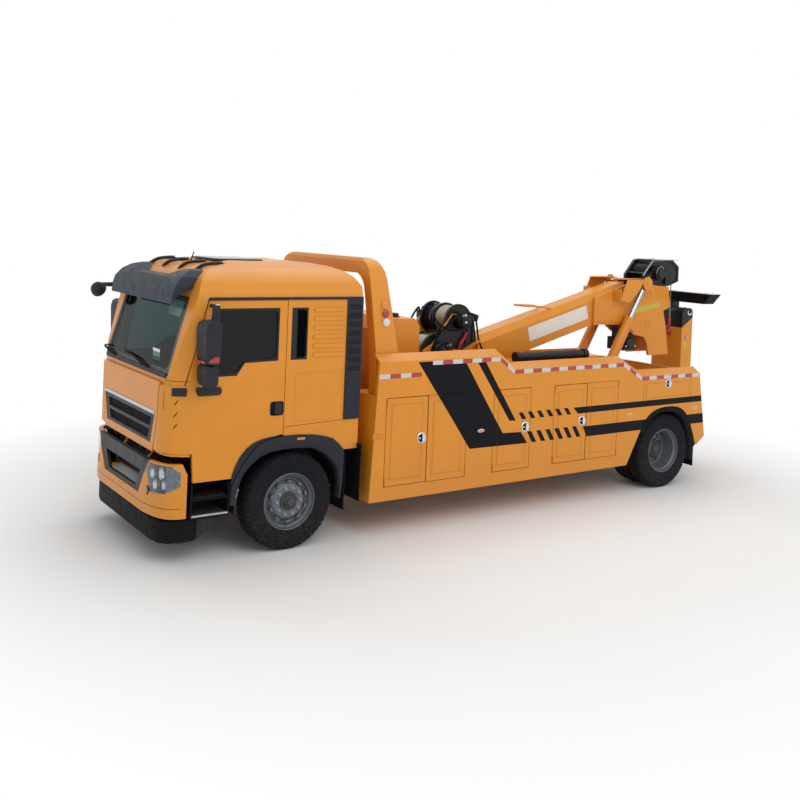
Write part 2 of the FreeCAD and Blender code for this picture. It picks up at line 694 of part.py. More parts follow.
def leaning(name, x, radius, low, high):
    """A round bar on the lift cylinder's axis, between two distances from its base pin."""
    rod = doc.addObject("Part::Cylinder", name)
    rod.setExpression("Radius", bound(radius))
    rod.setExpression("Height", bound(f"({high}) - ({low})"))
    rod.Placement = FreeCAD.Placement(FreeCAD.Vector(), FreeCAD.Rotation(FreeCAD.Vector(1, 0, 0), -30))
    rod.setExpression("Placement.Rotation.Angle", bound(LIFT_LEAN))
    reach = "sqrt((lift_eye_y - lift_base_y)^2 + (lift_eye_z - lift_base_z)^2)"
    y = f"{LIFT_BASE} + ({low}) * (lift_eye_y - lift_base_y) / {reach}"
    z = f"lift_base_z + ({low}) * (lift_eye_z - lift_base_z) / {reach}"
    put(rod, x, y, z)
    return rod


def build_lift():
    barrels = []
    rods = []
    reach = "sqrt((lift_eye_y - lift_base_y)^2 + (lift_eye_z - lift_base_z)^2)"
    for side, sign in SIDES:
        x = f"{sign} * {LIFT_X}"
        tube = leaning(f"barrel_tube_{side}", x, "barrel_radius", 0, "barrel_length")
        eye = bar(f"barrel_eye_{side}", "X", LIFT_BASE, "lift_base_z", 62,
                  *sided(sign, f"{LIFT_X} - 35", f"{LIFT_X} + 35"))
        pin = bar(f"barrel_pin_{side}", "X", LIFT_BASE, "lift_base_z", 35,
                  *sided(sign, f"{LIFT_X} - 80", f"{LIFT_X} + 80"))
        slab = block(f"barrel_trim_{side}", sided(sign, f"{LIFT_X} - 100", f"{LIFT_X} - 36"),
                     (f"{LIFT_BASE} - 160", f"{LIFT_BASE} + 140"),
                     ("lift_base_z - 160", "lift_base_z + 140"))
        slab_out = block(f"barrel_trim_out_{side}", sided(sign, f"{LIFT_X} + 36", f"{LIFT_X} + 100"),
                         (f"{LIFT_BASE} - 160", f"{LIFT_BASE} + 140"),
                     ("lift_base_z - 160", "lift_base_z + 140"))
        trimmed = cut(f"barrel_slim_{side}", tube, [slab, slab_out])
        hollow = leaning(f"barrel_bore_{side}", x, "rod_radius + 1", 110, "barrel_length + 5")
        barrels.append(cut(f"barrel_{side}", join(f"barrel_solid_{side}", [trimmed, eye, pin]),
                           [hollow]))
        shaft = leaning(f"rod_shaft_{side}", x, "rod_radius", f"{reach} - rod_length", f"{reach} - 45")
        ring = bar(f"rod_eye_{side}", "X", LIFT_EYE, "lift_eye_z", 62,
                   *sided(sign, f"{LIFT_X} - eye_half_width", f"{LIFT_X} + eye_half_width"))
        cap = bar(f"rod_cap_{side}", "X", LIFT_EYE, "lift_eye_z", 36,
                  *sided(sign, f"{LIFT_X} + eye_half_width", f"{LIFT_X} + eye_half_width + 15"))
        rods.append(join(f"rod_{side}", [shaft, ring, cap]))
    node("lift_barrels", several("lift_barrels", barrels))
    node("lift_rods", several("lift_rods", rods))


# ---------------------------------------------------------------- underlift
def build_underlift():
    x = ("-sleeve_half_width", "sleeve_half_width")
    body = prism("sleeve_body", "side", along([(8890, 620), (9140, 620), (9140, 2330), (8890, 2170)]),
                 *x)
    cavity = block("sleeve_cavity", ("-sleeve_half_width + sleeve_wall",
                                     "sleeve_half_width - sleeve_wall"),
                   (at(8925), at(9105)), (900, 2500))
    pin = bar("fold_pin", "X", FOLD_PIN, "fold_pin_z", 40, "-rail_inner - 5", "rail_inner + 5")
    node("underlift_sleeve", join("underlift_sleeve", [cut("sleeve_hollow", body, [cavity]), pin]))

    shaft = block("extension_shaft", ("-sleeve_half_width + 50", "sleeve_half_width - 50"),
                  (at(8930), at(9100)), (1100, 2400))
    head = prism("extension_head", "side",
                 along([(8890, 2170), (9140, 2330), (9140, 2430), (9100, 2480), (8930, 2480),
                        (8890, 2430)]), *x)
    neck = block("extension_neck", (-60, 60), (at(8940), at(9090)), (2470, 2690))
    pivot = bar("crossbar_pin", "Y", 0, 2660, 20, at(8905), at(9125))
    node("underlift_extension", join("underlift_extension", [shaft, head, neck, pivot]))

    outline = [("-crossbar_half + 140", 2580), ("crossbar_half - 140", 2580),
               ("crossbar_half", 2740), ("-crossbar_half", 2740)]
    beam = prism("crossbar_beam", "front", outline, at(8900), at(9130))
    tools = [block("crossbar_slot", (-170, 170), (at(8935), at(9095)), (2570, 2720)),
             bar("crossbar_bore", "Y", 0, 2660, "20 + pin_play", at(8890), at(9140))]
    for side, sign in SIDES:
        tools.append(bar(f"fork_bore_{side}", "Y", f"{sign} * (crossbar_half - 130)", 2670, 30,
                         at(8890), at(9140)))
    node("crossbar", cut("crossbar", beam, tools))


# ---------------------------------------------------------------- cab
CAB_SIDE = [(95, 1130), (95, 1900), (110, 1950), (340, 2780), (372, 2880), (420, 2960),
            (500, 3016), (600, 3060), (780, 3096), (1000, 3120), (1900, 3120), (2070, 3092),
            (2200, 3050), (2278, 2980), (2330, 2880), (2330, 1040), (2150, 1040), (2000, 1180),
            (1770, 1240), (1390, 1260), (1100, 1210), (780, 830), (350, 830), (330, 1130)]
CAB_CAVITY = [(135, 1330), (135, 1900), (150, 1950), (380, 2770), (460, 2930), (620, 3020),
              (1000, 3080), (1900, 3080), (2180, 3010), (2290, 2860), (2290, 1330)]
TILT_ARM = [(110, 870), (190, 860), (330, 1130), (330, 1300), (230, 1300), (225, 1080),
            (120, 935)]
CAB_UNDER = [(135, 800), (135, 1290), (2290, 1290), (2290, 800)]
CAB_DOOR = [(240, 1150), (240, 1850), (450, 2740), (1380, 2740), (1380, 1240), (1100, 1190),
            (770, 800), (335, 800), (318, 1150)]
DOOR_PANEL = [(248, 1158), (251, 1843), (464, 2732), (1372, 2732), (1372, 1279), (1096, 1231),
              (782, 858), (359, 858), (339, 1158)]
DOOR_WINDOW = [(360, 1940), (510, 2650), (1280, 2650), (1280, 2080), (890, 2070), (800, 1940)]
QUARTER = [(1430, 2080), (1430, 2650), (1630, 2650), (1630, 2080)]
FLARE = [(780, 830), (1100, 1210), (1390, 1260), (1770, 1240), (2000, 1180), (2150, 1040),
         (2090, 1000), (1960, 1110), (1760, 1170), (1400, 1190), (1140, 1150), (860, 820)]


def cab_plan(depth):
    rows = [("cab_half_width", 2330 - depth), ("cab_half_width", 330 + depth / 3),
            ("cab_half_width - 36", 246 + depth * 0.7), ("cab_half_width - 97", 150 + depth),
            ("cab_half_width - 162", 117 + depth), ("cab_half_width - 247", 95 + depth)]
    half = [(f"{x} - {depth}", y) for x, y in rows]
    return half + [(minus(x), y) for x, y in reversed(half)]


def cab_front(depth):
    rows = [("cab_half_width", 700), ("cab_half_width", 2740), ("cab_half_width - 11", 2815),
            ("cab_half_width - 37", 2880), ("cab_half_width - 85", 2938),
            ("cab_half_width - 157", 2992), ("cab_half_width - 247", 3040),
            ("cab_half_width - 387", 3090), ("cab_half_width - 547", 3125)]
    half = [(f"{x} - {depth}", z - depth if z > 2000 else z) for x, z in rows]
    return half + [(minus(x), z) for x, z in reversed(half)]


def cab_solid(name, outline, depth):
    reach = f"cab_half_width - {depth}"
    return meet(name, [
        prism(name + "_side", "side", outline, minus(reach), reach),
        prism(name + "_plan", "plan", cab_plan(depth), 700, 3300),
        prism(name + "_front", "front", cab_front(depth), 0, 2400)])


def cab_ring(name, near, far):
    outer = prism(name + "_outer", "plan", cab_plan(near), 700, 3000)
    inner = prism(name + "_inner", "plan", cab_plan(far), 690, 3010)
    return cut(name, outer, [inner])


def build_cab():
    outer = cab_solid("cab_outer", CAB_SIDE, 0)
    tools = [cab_solid("cab_room", CAB_CAVITY, 40), cab_solid("cab_under", CAB_UNDER, 40)]
    tools.append(prism("screen_opening", "front",
                       [(-960, 1960), (960, 1960), (930, 2740), (-930, 2740)], 50, 420))
    for side, sign in SIDES:
        x = sided(sign, 900, "cab_half_width + 20")
        tools.append(prism(f"door_opening_{side}", "side", CAB_DOOR, *x))
        tools.append(prism(f"quarter_opening_{side}", "side", QUARTER, *x))
    shell = cut("cab_body", outer, tools)
    parts = [shell]
    for side, sign in SIDES:
        x = sided(sign, "rail_inner + 10", "rail_outer - 5")
        parts.append(prism(f"tilt_arm_{side}", "side", TILT_ARM, *x))
        x = sided(sign, "rail_inner + 10", "rail_outer + 35")
        parts.append(bar(f"tilt_pin_{side}", "X", "tilt_pin_y", "tilt_pin_z", 21, *x))
    node("cab_shell", join("cab_shell", parts))

    slope = [(118, 1950), (348, 2780), (362, 2780), (132, 1950)]
    screen = meet("windscreen_plate", [prism("screen_slab", "side", slope, -1000, 1000),
                                       prism("screen_outline", "front",
                                             [(-960, 1960), (960, 1960), (930, 2740),
                                              (-930, 2740)], 50, 420)])
    panes = [screen]
    for side, sign in SIDES:
        panes.append(prism(f"quarter_pane_{side}", "side", QUARTER,
                           *sided(sign, "cab_half_width - 25", "cab_half_width - 15")))
    node("cab_glass", several("cab_glass", panes))

    profile = [(130, 2680), (138, 2780), (170, 2875), (235, 2955), (320, 3010), (430, 3045),
               (520, 3050), (520, 3024.8), (500, 3016), (420, 2960), (372, 2880), (362.4, 2850),
               (200, 2770)]
    hood = prism("visor_profile", "side", profile, -960, 960)
    half = [(0, 2950), (470, 2950), (560, 2990), (650, 3032), (760, 3042), (850, 3020),
            (925, 2960), (958, 2860), (950, 2680)]
    face = prism("visor_face", "front", [(-x, z) for x, z in reversed(half[1:])] + half[1:], 100, 560)
    node("sun_visor", meet("sun_visor", [hood, face]))

    flares = []
    vents = []
    for side, sign in SIDES:
        flares.append(prism(f"flare_{side}", "side", FLARE,
                            *sided(sign, "cab_half_width - 60", "cab_half_width + 28")))
        plate = block(f"vent_plate_{side}", sided(sign, "cab_half_width", "cab_half_width + 15"),
                      (2125, 2330), (1380, 2735))
        slots = [block(f"vent_slot_{side}_{row}",
                       sided(sign, "cab_half_width + 6", "cab_half_width + 30"),
                       (2145, 2310), (1420 + 100 * row, 1480 + 100 * row)) for row in range(13)]
        vents.append(cut(f"vent_{side}", plate, slots))
    node("arch_flares", several("arch_flares", flares))
    node("corner_vents", several("corner_vents", vents))


def build_cab_interior():
    dash = [(135, 1600), (135, 1890), (500, 1890), (600, 1800), (520, 1600), (300, 1500)]
    node("dashboard", prism("dashboard", "side", dash, -860, 860))
    seats = []
    profile = [(1150, 1330), (1150, 1600), (1560, 1600), (1640, 2280), (1760, 2280), (1720, 1480),
               (1680, 1330)]
    for side, sign in SIDES:
        seats.append(prism(f"seat_{side}", "side", profile, *sided(sign, 310, 790)))
    node("seats", several("seats", seats))
    ring = doc.addObject("Part::Torus", "wheel_ring")
    ring.Radius1 = 215
    ring.Radius2 = 16
    column = doc.addObject("Part::Cylinder", "wheel_column")
    column.Radius = 28
    column.Height = 174
    spoke = doc.addObject("Part::Box", "wheel_spoke")
    spoke.Length = 420
    spoke.Width = 50
    spoke.Height = 20
    spoke.Placement.Base = FreeCAD.Vector(-210, -25, -10)
    column.Placement.Base = FreeCAD.Vector(0, 0, -184.4)
    group = join("wheel_group", [ring, column, spoke])
    group.Placement = FreeCAD.Placement(FreeCAD.Vector(550, 715, 1945),
                                        FreeCAD.Rotation(FreeCAD.Vector(1, 0, 0), -42))
    node("steering_wheel", several("steering_wheel", [group]))


MIRROR_UPPER = [(338, 2118), (312, 2160), (300, 2460), (318, 2525), (355, 2548), (440, 2548),
                (470, 2525), (478, 2470), (466, 2150), (440, 2118)]
MIRROR_LOWER = [(345, 1888), (326, 1925), (318, 2060), (340, 2098), (430, 2098), (456, 2065),
                (448, 1920), (425, 1888)]


def build_doors():
    ring_skin = cab_ring("door_ring", 0, 38)
    for side, sign in SIDES:
        x = sided(sign, 900, "cab_half_width + 20")
        slab = prism(f"door_slab_{side}", "side", DOOR_PANEL, *x)
        window = prism(f"door_window_{side}", "side", DOOR_WINDOW, *x)
        skin = meet(f"door_skin_{side}", [slab, ring_skin])
        panel = cut(f"door_panel_{side}", skin, [window])
        pin = bar(f"door_pin_{side}", "Z", f"{sign} * (cab_half_width - 58)", 254, 6, 1150, 1160)
        node(f"door_{side}", join(f"door_{side}", [panel, pin]))
        pane_ring = cab_ring(f"pane_ring_{side}", 12, 22)
        pane = meet(f"door_pane_{side}", [prism(f"pane_slab_{side}", "side", DOOR_WINDOW, *x),
                                          pane_ring])
        node(f"door_glass_{side}", pane)
        x = sided(sign, "cab_half_width + 80", "cab_half_width + 330")
        upper = prism(f"mirror_upper_{side}", "side", MIRROR_UPPER, *x)
        lower = prism(f"mirror_lower_{side}", "side", MIRROR_LOWER, *x)
        neck = block(f"mirror_neck_{side}", sided(sign, "cab_half_width + 120", "cab_half_width + 240"),
                     (350, 430), (2090, 2130))
        post_x = sided(sign, "cab_half_width + 150", "cab_half_width + 190")
        top_post = block(f"mirror_top_post_{side}", post_x, (430, 500), (2500, 2700))
        top_x = sided(sign, "cab_half_width - 10", "cab_half_width + 170")
        top_arm = block(f"mirror_top_arm_{side}", top_x, (465, 500), (2665, 2700))
        arm_x = sided(sign, "cab_half_width - 10", "cab_half_width + 200")
        low_arm = block(f"mirror_low_{side}", arm_x, (350, 400), (1800, 1840))
        post = block(f"mirror_post_{side}", sided(sign, "cab_half_width + 160",
                                                  "cab_half_width + 200"), (350, 400), (1800, 1895))
        outer_bit = block(f"mirror_trim_{side}", sided(sign, 900, "cab_half_width"), (300, 450),
                          (1700, 2000))
        arm = cut(f"mirror_arm_{side}", low_arm, [outer_bit])
        top_bit = block(f"mirror_top_trim_{side}", sided(sign, 900, "cab_half_width"), (400, 550),
                        (2600, 2750))
        top = cut(f"mirror_top_{side}", top_arm, [top_bit])
        head = join(f"mirror_head_{side}", [upper, lower, neck, top_post])
        node(f"mirror_{side}", join(f"mirror_{side}", [head, arm, post, top]))


def build_front_panel():
    outline = [(-760, 1135), (760, 1135), (860, 1500), (880, 1880), (-880, 1880), (-860, 1500)]
    plate = prism("front_panel_plate", "front", outline, 55, 90)
    grille = [(-700, 1220), (700, 1220), (800, 1530), (-800, 1530)]
    opening = prism("upper_opening", "front", grille, 40, 100)
    parts = [cut("front_panel_cut", plate, [opening])]
    for side, sign in SIDES:
        parts.append(block(f"panel_hinge_{side}", sided(sign, 600, 640), (90, 95), (1850, 1870)))
    node("front_panel", join("front_panel", parts))
    body = prism("upper_grille_plate", "front", grille, 62, 86)
    slots = [prism("upper_slot_low", "front",
                   [(-600, 1250), (600, 1250), (640, 1345), (-640, 1345)], 40, 100),
             prism("upper_slot_high", "front", [(-650, 1385), (650, 1385), (690, 1480), (-690, 1480)],
                   40, 100)]
    node("upper_grille", cut("upper_grille", body, slots))


def build_winches(winches):
    holes = [hole for _, hole in winches]
    stand = [thing for thing in NODES if thing.Label == "winch_stand"][0]
    NODES.remove(stand)
    stand.Label = "stand_whole"
    stand.setExpression("Placement.Base.y", None)
    stand.Placement = FreeCAD.Placement()
    node("winch_stand", cut("winch_stand_bored", stand, holes))
    node("winches", several("winches", [drum for drum, _ in winches]))


build_frame()
build_engine()
build_front_axle()
build_rear_axle()
build_wheels()
build_knuckles()
build_bumper()
build_steps()
build_mudflaps()
build_body()
build_locker_doors()
build_arch()
build_signal_lamps()
build_tank()
build_winches(build_stand())
build_boom()
build_head_winch()
build_hook()
build_lift()
build_underlift()
build_cab()
build_cab_interior()
build_doors()
build_front_panel()

doc.recompute()
for thing in doc.Objects:
    bad = {"Invalid", "Error"} & set(thing.State)
    if bad:
        raise RuntimeError(f"{thing.Name} is {bad}")
for thing in NODES:
    if thing.Shape.isNull() or not thing.Shape.isValid():
        raise RuntimeError(f"{thing.Label} has no valid shape")
    thing.Shape.exportStep(f"parts/{thing.Label}.step")
    box = thing.Shape.BoundBox
    spans = [box.XMin, box.XMax, box.YMin, box.YMax, box.ZMin, box.ZMax]
    print(f"{thing.Label:26s} solids {len(thing.Shape.Solids)}",
          *(f"{span:7.0f}" for span in spans))
print(len(NODES), "sub-parts")
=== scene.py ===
"""Looks and small details of the tow truck, around its CAD frame."""
import json
import math

import bmesh
import bpy
from mathutils import Matrix, Vector


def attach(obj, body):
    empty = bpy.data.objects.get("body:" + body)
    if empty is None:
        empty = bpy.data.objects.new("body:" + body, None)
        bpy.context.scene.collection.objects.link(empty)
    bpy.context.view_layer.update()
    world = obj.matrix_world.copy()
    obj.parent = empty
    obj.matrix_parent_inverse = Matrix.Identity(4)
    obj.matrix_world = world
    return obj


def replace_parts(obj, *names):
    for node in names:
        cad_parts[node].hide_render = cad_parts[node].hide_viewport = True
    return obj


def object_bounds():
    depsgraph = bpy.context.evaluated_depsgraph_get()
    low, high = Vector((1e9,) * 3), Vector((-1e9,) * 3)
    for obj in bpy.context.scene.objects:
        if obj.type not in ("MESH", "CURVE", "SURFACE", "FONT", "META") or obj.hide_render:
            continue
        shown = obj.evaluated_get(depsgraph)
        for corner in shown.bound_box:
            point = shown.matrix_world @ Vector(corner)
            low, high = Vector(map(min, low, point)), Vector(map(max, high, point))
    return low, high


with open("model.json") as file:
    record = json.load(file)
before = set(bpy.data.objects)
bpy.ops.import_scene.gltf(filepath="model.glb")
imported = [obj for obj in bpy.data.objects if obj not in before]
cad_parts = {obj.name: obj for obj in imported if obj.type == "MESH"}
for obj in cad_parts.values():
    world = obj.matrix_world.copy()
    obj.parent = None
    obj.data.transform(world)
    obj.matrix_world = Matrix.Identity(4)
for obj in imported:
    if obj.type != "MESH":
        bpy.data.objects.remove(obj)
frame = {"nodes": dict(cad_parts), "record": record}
cad_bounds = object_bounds()
NODES = frame["nodes"]
FRONT = cad_bounds[0].y  # stations below are metres behind the bumper's face
BODY_OF = {n: b for b, ns in frame["record"]["behaviour"]["bodies"].items() for n in ns}
SIDES = (("left", 1), ("right", -1))


# ------------------------------------------------------------------ materials
def srgb(r, g, b):
    """Linear RGBA from 0 to 255 values."""
    def linear(c):
        c /= 255
        return c / 12.92 if c <= 0.04045 else ((c + 0.055) / 1.055) ** 2.4
    return (linear(r), linear(g), linear(b), 1)


def darker(colour, share):
    """A linear colour, dimmed to a share of itself."""
    return tuple(c * share for c in colour[:3]) + (1,)


def plug(tree, socket, value):
    """Links a socket to another one, or sets its value."""
    if isinstance(value, bpy.types.NodeSocket):
        tree.links.new(value, socket)
    else:
        socket.default_value = value


class Graph:
    """A material's nodes, with short calls for the ones used here."""

    def __init__(self, name):
        self.material = bpy.data.materials.new(name)
        self.material.use_nodes = True
        self.tree = self.material.node_tree
        self.shader = self.tree.nodes["Principled BSDF"]
        self.place = self.tree.nodes.new("ShaderNodeTexCoord").outputs["Object"]

    def add(self, kind, links=None, **values):
        made = self.tree.nodes.new("ShaderNode" + kind)
        for key, value in values.items():
            setattr(made, key, value)
        for key, value in (links or {}).items():
            plug(self.tree, made.inputs[key], value)
        return made

    def set(self, **values):
        for key, value in values.items():
            plug(self.tree, self.shader.inputs[key.replace("_", " ")], value)

    def times(self, a, b, clamp=False):
        return self.add("Math", {0: a, 1: b}, operation="MULTIPLY", use_clamp=clamp).outputs[0]

    def noise(self, scale, detail=4.0, rough=0.55, place=None):
        links = {"Vector": place or self.place, "Scale": scale, "Detail": detail, "Roughness": rough}
        return self.add("TexNoise", links).outputs["Fac"]

    def wave(self, scale, distortion, way):
        links = {"Vector": self.place, "Scale": scale, "Distortion": distortion}
        return self.add("TexWave", links, bands_direction=way).outputs["Fac"]

    def ramp(self, value, low, high, out_low=0.0, out_high=1.0):
        return self.add("MapRange", {0: value, 1: low, 2: high, 3: out_low, 4: out_high}).outputs[0]

    def mix(self, share, a, b):
        return self.add("Mix", {0: share, 6: a, 7: b}, data_type="RGBA").outputs[2]

    def bump(self, height, strength, distance=0.001):
        made = self.add("Bump", {"Height": height, "Strength": strength, "Distance": distance})
        self.tree.links.new(made.outputs[0], self.shader.inputs["Normal"])


DUST = srgb(150, 140, 125)


def finish_of(name, colour, rough, metal=0.0, coat=0.0, grain=400, grain_depth=0.1, patch=0.06, dust=0.25,
              rough_spread=0.08, dust_top=0.9, shine=0.5):
    """A painted, moulded or cast finish: patchy tone, grain, and road dust low down."""
    g = Graph(name)
    tone = g.ramp(g.noise(2.3, 6), 0.3, 0.7, 1 - patch, 1 + patch)
    base = g.add("HueSaturation", {"Value": tone, "Color": srgb(*colour)}).outputs[0]
    speck = g.ramp(g.noise(38, 8, 0.7), 0.42, 0.66)
    height = g.ramp(g.add("SeparateXYZ", {0: g.place}).outputs["Z"], 0.05, dust_top, 1, 0)
    cover = g.times(g.times(speck, height), dust, True)
    spread = g.ramp(g.noise(11, 5), 0.3, 0.7, rough - rough_spread, rough + rough_spread)
    dull = g.add("Math", {0: spread, 1: g.times(cover, 0.4)}, operation="ADD", use_clamp=True).outputs[0]
    g.set(Base_Color=g.mix(cover, base, DUST), Metallic=metal, Roughness=dull, Specular_IOR_Level=shine)
    if coat:
        g.set(Coat_Weight=coat, Coat_Roughness=0.08)
    g.bump(g.noise(grain, 3), grain_depth, 0.0006)
    return g.material


def glass_of(name, colour, rough=0.02, solid=0.0, bend=1.45):
    """Faintly streaked glass."""
    g = Graph(name)
    colour = srgb(*colour)
    g.set(Base_Color=g.mix(g.ramp(g.noise(3), 0.3, 0.7, 0, 0.25), colour, darker(colour, 0.8)),
          Roughness=g.ramp(g.noise(7, 6), 0.35, 0.7, rough, rough + 0.05), Transmission_Weight=1 - solid, IOR=bend)
    return g.material


def lens_of(name, colour):
    """A ribbed lamp lens."""
    g = Graph(name)
    colour = srgb(*colour)
    ribs = g.wave(55.0, 0.2, "Y")
    g.set(Base_Color=g.mix(ribs, colour, darker(colour, 0.7)), Roughness=g.ramp(ribs, 0, 1, 0.1, 0.2), Coat_Weight=0.6)
    g.bump(ribs, 0.4)
    return g.material


def metal_of(name, colour, rough, scratch=0.3, direction=(1, 60, 60)):
    """Bare metal, brushed along one direction."""
    g = Graph(name)
    colour = srgb(*colour)
    stretched = g.add("Mapping", {"Vector": g.place, "Scale": direction}).outputs[0]
    lines = g.noise(14, 6, 0.6, stretched)
    g.set(Base_Color=g.mix(g.ramp(g.noise(5, 5), 0.3, 0.7, 0, 0.3), colour, darker(colour, 0.75)),
          Metallic=1.0, Roughness=g.ramp(lines, 0.3, 0.7, rough, rough + 0.12))
    g.bump(lines, scratch, 0.0004)
    return g.material


def cloth_of(name, colour):
    """Woven cloth."""
    g = Graph(name)
    colour = srgb(*colour)
    threads = {0: g.wave(160.0, 0.3, "X"), 1: g.wave(160.0, 0.3, "Z")}
    weave = g.add("Math", threads, operation="MAXIMUM").outputs[0]
    g.set(Base_Color=g.mix(weave, darker(colour, 0.6), colour), Roughness=g.ramp(weave, 0, 1, 0.95, 0.8),
          Sheen_Weight=0.4)
    g.bump(weave, 0.5)
    return g.material


YELLOW = finish_of("yellow_paint", (218, 140, 36), 0.4, coat=0.12, shine=0.35, grain=260, grain_depth=0.04, patch=0.03,
                   dust=0.3, rough_spread=0.05)
BLACK = finish_of("black_paint", (17, 18, 23), 0.42, coat=0.1, shine=0.3, grain=300, grain_depth=0.08)
FRAME = finish_of("frame_paint", (22, 24, 29), 0.6, shine=0.25, grain=200, grain_depth=0.25, dust=0.6, dust_top=1.3)
PLASTIC = finish_of("dark_plastic", (35, 38, 47), 0.55, shine=0.25, grain=700, grain_depth=0.3, patch=0.08)
GRILLE = finish_of("grille_plastic", (52, 54, 58), 0.5, shine=0.25, grain=600, grain_depth=0.2)
VISOR = finish_of("visor_plastic", (40, 46, 60), 0.5, shine=0.2, coat=0.03, grain=700, grain_depth=0.03, patch=0.03)
INTERIOR = finish_of("interior", (44, 47, 50), 0.75, shine=0.2, grain=500, grain_depth=0.3, dust=0)
CAST = finish_of("cast", (66, 68, 72), 0.6, metal=0.5, grain=160, grain_depth=0.6, dust=0.5)
RIM = finish_of("rim", (92, 101, 113), 0.45, metal=0.3, grain=220, grain_depth=0.15, dust=0.55, dust_top=1.6)
TYRE = finish_of("tyre", (17, 20, 26), 0.8, shine=0.15, grain=120, grain_depth=0.15, patch=0.08, dust=0.12,
                 dust_top=1.1)
STRIPE = finish_of("stripe", (12, 14, 20), 0.5, shine=0.12, grain=260, grain_depth=0.04)
PALE = finish_of("pale_paint", (228, 226, 218), 0.45, coat=0.2, grain=260, grain_depth=0.05)
RED = finish_of("red_paint", (190, 42, 38), 0.45, coat=0.2, grain=260)
SHADE = finish_of("shade", (12, 13, 16), 0.75, shine=0.15, grain=300, dust=0.1)
BEZEL = finish_of("lamp_bezel", (128, 133, 140), 0.3, metal=0.7, grain=300, grain_depth=0.05, dust=0)
# darker orange than the paint: painted shade along the raised panels' edges
PANEL_EDGE_SHADE = finish_of("pressed_line", (170, 104, 24), 0.5, grain=260, grain_depth=0.05)
# near-black: on the entry steps and the crossbar it is painted shade, darker than their own finish
BLACK_AND_SHADE = finish_of("front_board", (7, 9, 13), 0.65, shine=0.15, grain=260, grain_depth=0.05, dust=0.03)
LIME = finish_of("label_green", (200, 176, 58), 0.5, grain=300, grain_depth=0.05)
CHROME = metal_of("chrome", (225, 228, 232), 0.1, 0.05)
STEEL = metal_of("steel", (165, 168, 172), 0.3)
ALUMINIUM = metal_of("aluminium", (196, 198, 200), 0.36, 0.25)
ROD = metal_of("rod_chrome", (176, 182, 188), 0.16, 0.05)
ROPE = metal_of("rope", (150, 143, 125), 0.45, 0.6, (60, 1, 1))
GLASS = glass_of("glass", (112, 152, 152), bend=1.12)
SIDE_GLASS = glass_of("side_glass", (56, 84, 84), bend=1.34)
LAMP_GLASS = glass_of("lamp_glass", (226, 232, 236))
HATCH = glass_of("hatch_glass", (120, 122, 120), 0.15, 1.0)
AMBER = lens_of("amber_lens", (236, 138, 30))
RED_LENS = lens_of("red_lens", (176, 28, 24))
CLEAR_LENS = lens_of("clear_lens", (226, 228, 228))
TAPE_WHITE = lens_of("tape_white", (214, 214, 214))
TAPE_RED = lens_of("tape_red", (178, 36, 34))
SEAT = cloth_of("seat_cloth", (62, 64, 70))

# the materials of each slot; a CAD node takes the first
SLOTS = {"black_paint": (BLACK, SHADE, STRIPE, BLACK_AND_SHADE, RED), "cast": (CAST,), "chrome": (CHROME, ROD),
         "dark_plastic": (PLASTIC,), "frame_paint": (FRAME,), "glass": (GLASS, HATCH, SIDE_GLASS),
         "grille_plastic": (GRILLE,), "interior": (INTERIOR, PALE), "lamp": (LAMP_GLASS, BEZEL), "rim": (RIM,),
         "seat_cloth": (SEAT,), "signal": (AMBER, RED_LENS, CLEAR_LENS, TAPE_RED),
         "steel": (STEEL, ALUMINIUM, TAPE_WHITE, ROPE), "tyre": (TYRE,), "visor_plastic": (VISOR,),
         "yellow_paint": (YELLOW, PANEL_EDGE_SHADE, LIME)}


# ------------------------------------------------------------------ mesh making
def rect(a0, a1, b0, b1):
    """A rectangle's outline."""
    return [(a0, b0), (a1, b0), (a1, b1), (a0, b1)]


def flipped(points, sign):
    """Points or (x, radius) rows, with their first value mirrored on the right side."""
    return [(sign * x, *rest) for x, *rest in points]


def arc(centre, radii, start=0, sweep=360, steps=28):
    """Points of an ellipse's arc, its closing point left out on a full turn."""
    count = steps + (sweep != 360)
    turns = (math.radians(start + sweep * k / steps) for k in range(count))
    return [(centre[0] + radii[0] * math.cos(t), centre[1] + radii[1] * math.sin(t)) for t in turns]


def placed(ring, sign=1):
    """(x, station, z) points in the truck's frame, mirrored on the right side."""
    return [(sign * x, y + FRONT, z) for x, y, z in ring]


def bevelled(thing, width, segments=2, angle=35, harden=True):
    """Rounds the edges that turn by more than the angle."""
    edge = thing.modifiers.new("edge", "BEVEL")
    edge.width = width
    edge.segments = segments
    edge.limit_method = "ANGLE"
    edge.angle_limit = math.radians(angle)
    edge.harden_normals = harden


